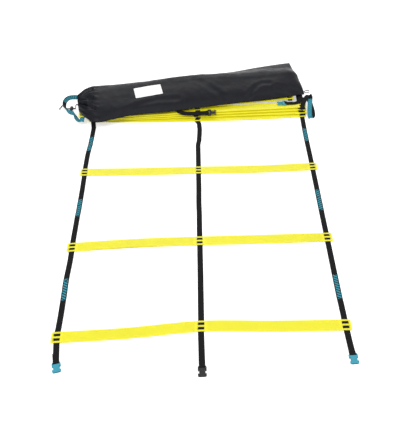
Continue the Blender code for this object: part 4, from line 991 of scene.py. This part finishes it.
def stitched(name, lines, thread_finish, body):
    """Short thread stitches laid end to end along lines on a piece."""
    bm = bmesh.new()
    for line in lines:
        for a, b in zip(line, line[1:]):
            count = max(1, round((b - a).length / STITCH_PITCH))
            course = (b - a).to_track_quat("X", "Z").to_matrix().to_4x4()
            for n in range(count):
                size = Matrix.Diagonal((STITCH_LENGTH / 2, STITCH_THICK / 2, STITCH_THICK / 2, 1))
                lie = Matrix.Translation(a.lerp(b, (n + 0.5) / count)) @ course @ size
                bmesh.ops.create_uvsphere(bm, u_segments=6, v_segments=4, radius=1.0, matrix=lie)
    piece = into_piece(name, bm)
    piece.data.materials.append(thread_finish)
    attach(piece, body)


bm = bmesh.new()
bmesh.ops.create_grid(bm, x_segments=48, y_segments=26, size=1.0)
uv = bm.loops.layers.uv.new("along")
for face in bm.faces:
    for loop in face.loops:
        loop[uv].uv = (loop.vert.co.x * LABEL_SIZE[0] / 2, loop.vert.co.y * LABEL_SIZE[1] / 2)
for vert in bm.verts:
    vert.co = label_spot(vert.co.x, vert.co.y, LABEL_LIFT)
bmesh.ops.solidify(bm, geom=bm.faces[:], thickness=LABEL_THICK)
bmesh.ops.recalc_face_normals(bm, faces=bm.faces)
label = into_piece("label_patch", bm, 50.0)

satin, tree, shader = finish("label_satin", LABEL_WHITE, 0.48)
where = node(tree, "UVMap", uv_map="along")
parts = node(tree, "SeparateXYZ")
tree.links.new(where.outputs[0], parts.inputs[0])
fine = mixed(tree, "MULTIPLY", ripple(tree, parts.outputs[0], 0.0007), ripple(tree, parts.outputs[1], 0.0005))
soiled = node(tree, "TexNoise", in_Scale=60.0, in_Detail=3.0, in_Roughness=0.6)
faded = node(tree, "MapRange", in_From_Min=0.3, in_From_Max=0.7, in_To_Min=0.95, in_To_Max=1.02)
cloth = node(tree, "VectorMath", operation="SCALE")
cloth.inputs[0].default_value = LABEL_WHITE
relief = node(tree, "Bump", in_Strength=0.35, in_Distance=0.00015)
tree.links.new(where.outputs[0], soiled.inputs["Vector"])
tree.links.new(soiled.outputs[0], faded.inputs[0])
tree.links.new(faded.outputs[0], cloth.inputs["Scale"])
tree.links.new(cloth.outputs[0], shader.inputs["Base Color"])
tree.links.new(fine, relief.inputs["Height"])
tree.links.new(relief.outputs[0], shader.inputs["Normal"])
label.data.materials.append(satin)
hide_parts("bag_label")
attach(label, "bag")

# Painted shade: the white thread is coloured a grey darker than the label, so the stitching looks shaded.
thread_grey_as_shade, tree, shader = finish("label_thread", (0.70, 0.70, 0.69), 0.6)
wide, high = BORDER
corners = [(-wide, -high), (wide, -high), (wide, high), (-wide, high)]
border = []
for a, b in zip(corners, corners[1:] + corners[:1]):
    steps = [(a[0] + (b[0] - a[0]) * n / BORDER_STEPS, a[1] + (b[1] - a[1]) * n / BORDER_STEPS)
             for n in range(BORDER_STEPS + 1)]
    border.append([label_spot(*step, STITCH_LIFT) for step in steps])
stitched("label_stitches", border, thread_grey_as_shade, "bag")

# Hanging loop.  Narrow polyester tape doubled into a ring and caught in the
# seam at the bag's foot.
LOOP_V = -0.105
LOOP_REACH = 0.025
LOOP_INNER = 0.015
LOOP_TURN_STEPS = 12
TAPE_WIDE = 0.0036
TAPE_THICK = 0.0012
TAPE_AROUND = 16
TAPE_SQUARENESS = 0.35
SEAM_OUT = 0.0006
seam = on_bag(BAG_FOOT, LOOP_V, 0)
along_foot = Vector((math.cos(BAG_TURN), math.sin(BAG_TURN), 0))
over_foot = Vector((-along_foot.y, along_foot.x, 0))
loop_way = [(SEAM_OUT, -TAPE_THICK * 0.6), (LOOP_REACH * 0.35, -LOOP_INNER / 2)]
for step in range(LOOP_TURN_STEPS + 1):
    turn = math.pi * (step / LOOP_TURN_STEPS - 0.5)
    loop_way.append((LOOP_REACH - LOOP_INNER / 2 * (1 - math.cos(turn)), LOOP_INNER / 2 * math.sin(turn)))
loop_way += [(LOOP_REACH * 0.35, LOOP_INNER / 2), (SEAM_OUT, TAPE_THICK * 0.6)]
loop_line = [seam + along_foot * a + over_foot * b for a, b in loop_way]
tape_round = []
for n in range(TAPE_AROUND):
    turn = math.tau * n / TAPE_AROUND
    flat = math.copysign(abs(math.cos(turn)) ** TAPE_SQUARENESS, math.cos(turn))
    thick = math.copysign(abs(math.sin(turn)) ** TAPE_SQUARENESS, math.sin(turn))
    tape_round.append((TAPE_WIDE / 2 * flat, TAPE_THICK / 2 * thick))
hang_loop = swept("hang_loop_tape", framed(loop_line, Vector((0, 0, 1))), tape_round)
hang_loop.data.materials.append(nylon)
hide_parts("bag_hang_loop")
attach(hang_loop, "bag")


# Studio.  A white floor of paper under broad, soft light, so that only close
# contact shadows show.
FLOOR_HALF = 12.0
FLOOR_GLOW = 0.50
WORLD_LEVEL = 0.54


def seen_white(tree):
    """One where a ray comes from the camera, a reflection or clear stuff."""
    rays = node(tree, "LightPath").outputs
    either = mixed(tree, "MAXIMUM", rays["Is Camera Ray"], rays["Is Glossy Ray"])
    return mixed(tree, "MAXIMUM", either, rays["Is Transmission Ray"])


bm = bmesh.new()
bmesh.ops.create_grid(bm, x_segments=1, y_segments=1, size=FLOOR_HALF)
floor = into_piece("studio_floor", bm)
paper_white, tree, shader = finish("studio_paper", (0.80, 0.80, 0.80), 0.9)
shader.inputs["Specular IOR Level"].default_value = 0.0
glow = node(tree, "Emission", in_Strength=FLOOR_GLOW)
nothing = node(tree, "Emission", in_Strength=0.0)
pick = node(tree, "MixShader")
both = node(tree, "AddShader")
output = tree.nodes["Material Output"]
tree.links.new(seen_white(tree), pick.inputs[0])
tree.links.new(nothing.outputs[0], pick.inputs[1])
tree.links.new(glow.outputs[0], pick.inputs[2])
tree.links.new(shader.outputs[0], both.inputs[0])
tree.links.new(pick.outputs[0], both.inputs[1])
tree.links.new(both.outputs[0], output.inputs["Surface"])
floor.data.materials.append(paper_white)

sky = bpy.data.worlds.new("studio_light")
bpy.context.scene.world = sky
sky.use_nodes = True
tree = sky.node_tree
plain = tree.nodes["Background"]
plain.inputs["Color"].default_value = (1.0, 1.0, 1.0, 1.0)
plain.inputs["Strength"].default_value = WORLD_LEVEL
white = node(tree, "Background", in_Strength=1.0)
white.inputs["Color"].default_value = (1.0, 1.0, 1.0, 1.0)
pick = node(tree, "MixShader")
tree.links.new(seen_white(tree), pick.inputs[0])
tree.links.new(plain.outputs[0], pick.inputs[1])
tree.links.new(white.outputs[0], pick.inputs[2])
tree.links.new(pick.outputs[0], tree.nodes["World Output"].inputs["Surface"])


def softbox(name, place, aim, size, power):
    """A square soft light, aimed at a place on the floor."""
    lamp = bpy.data.lights.new(name, "AREA")
    lamp.shape = "SQUARE"
    lamp.size = size
    lamp.energy = power
    box = bpy.data.objects.new(name, lamp)
    bpy.context.scene.collection.objects.link(box)
    box.location = place
    box.rotation_euler = (aim - place).to_track_quat("-Z", "Y").to_euler()


# Each softbox's name, place, the y it is aimed at, its side and its power.
for name, place, aim_y, side_long, power in (
        ("key_softbox", (-1.8, -1.4, 5.0), 0.6, 4.0, 165.0),
        ("fill_softbox", (2.8, 0.4, 5.0), 0.6, 4.0, 98.0),
        ("front_softbox", (0.3, -4.5, 2.8), 0.8, 3.5, 66.0),
        ("back_softbox", (-0.3, 6.2, 4.6), 0.9, 4.0, 84.0)):
    softbox(name, laid(*place), laid(0, aim_y, 0), side_long, power)

bpy.context.scene.view_settings.view_transform = "Standard"
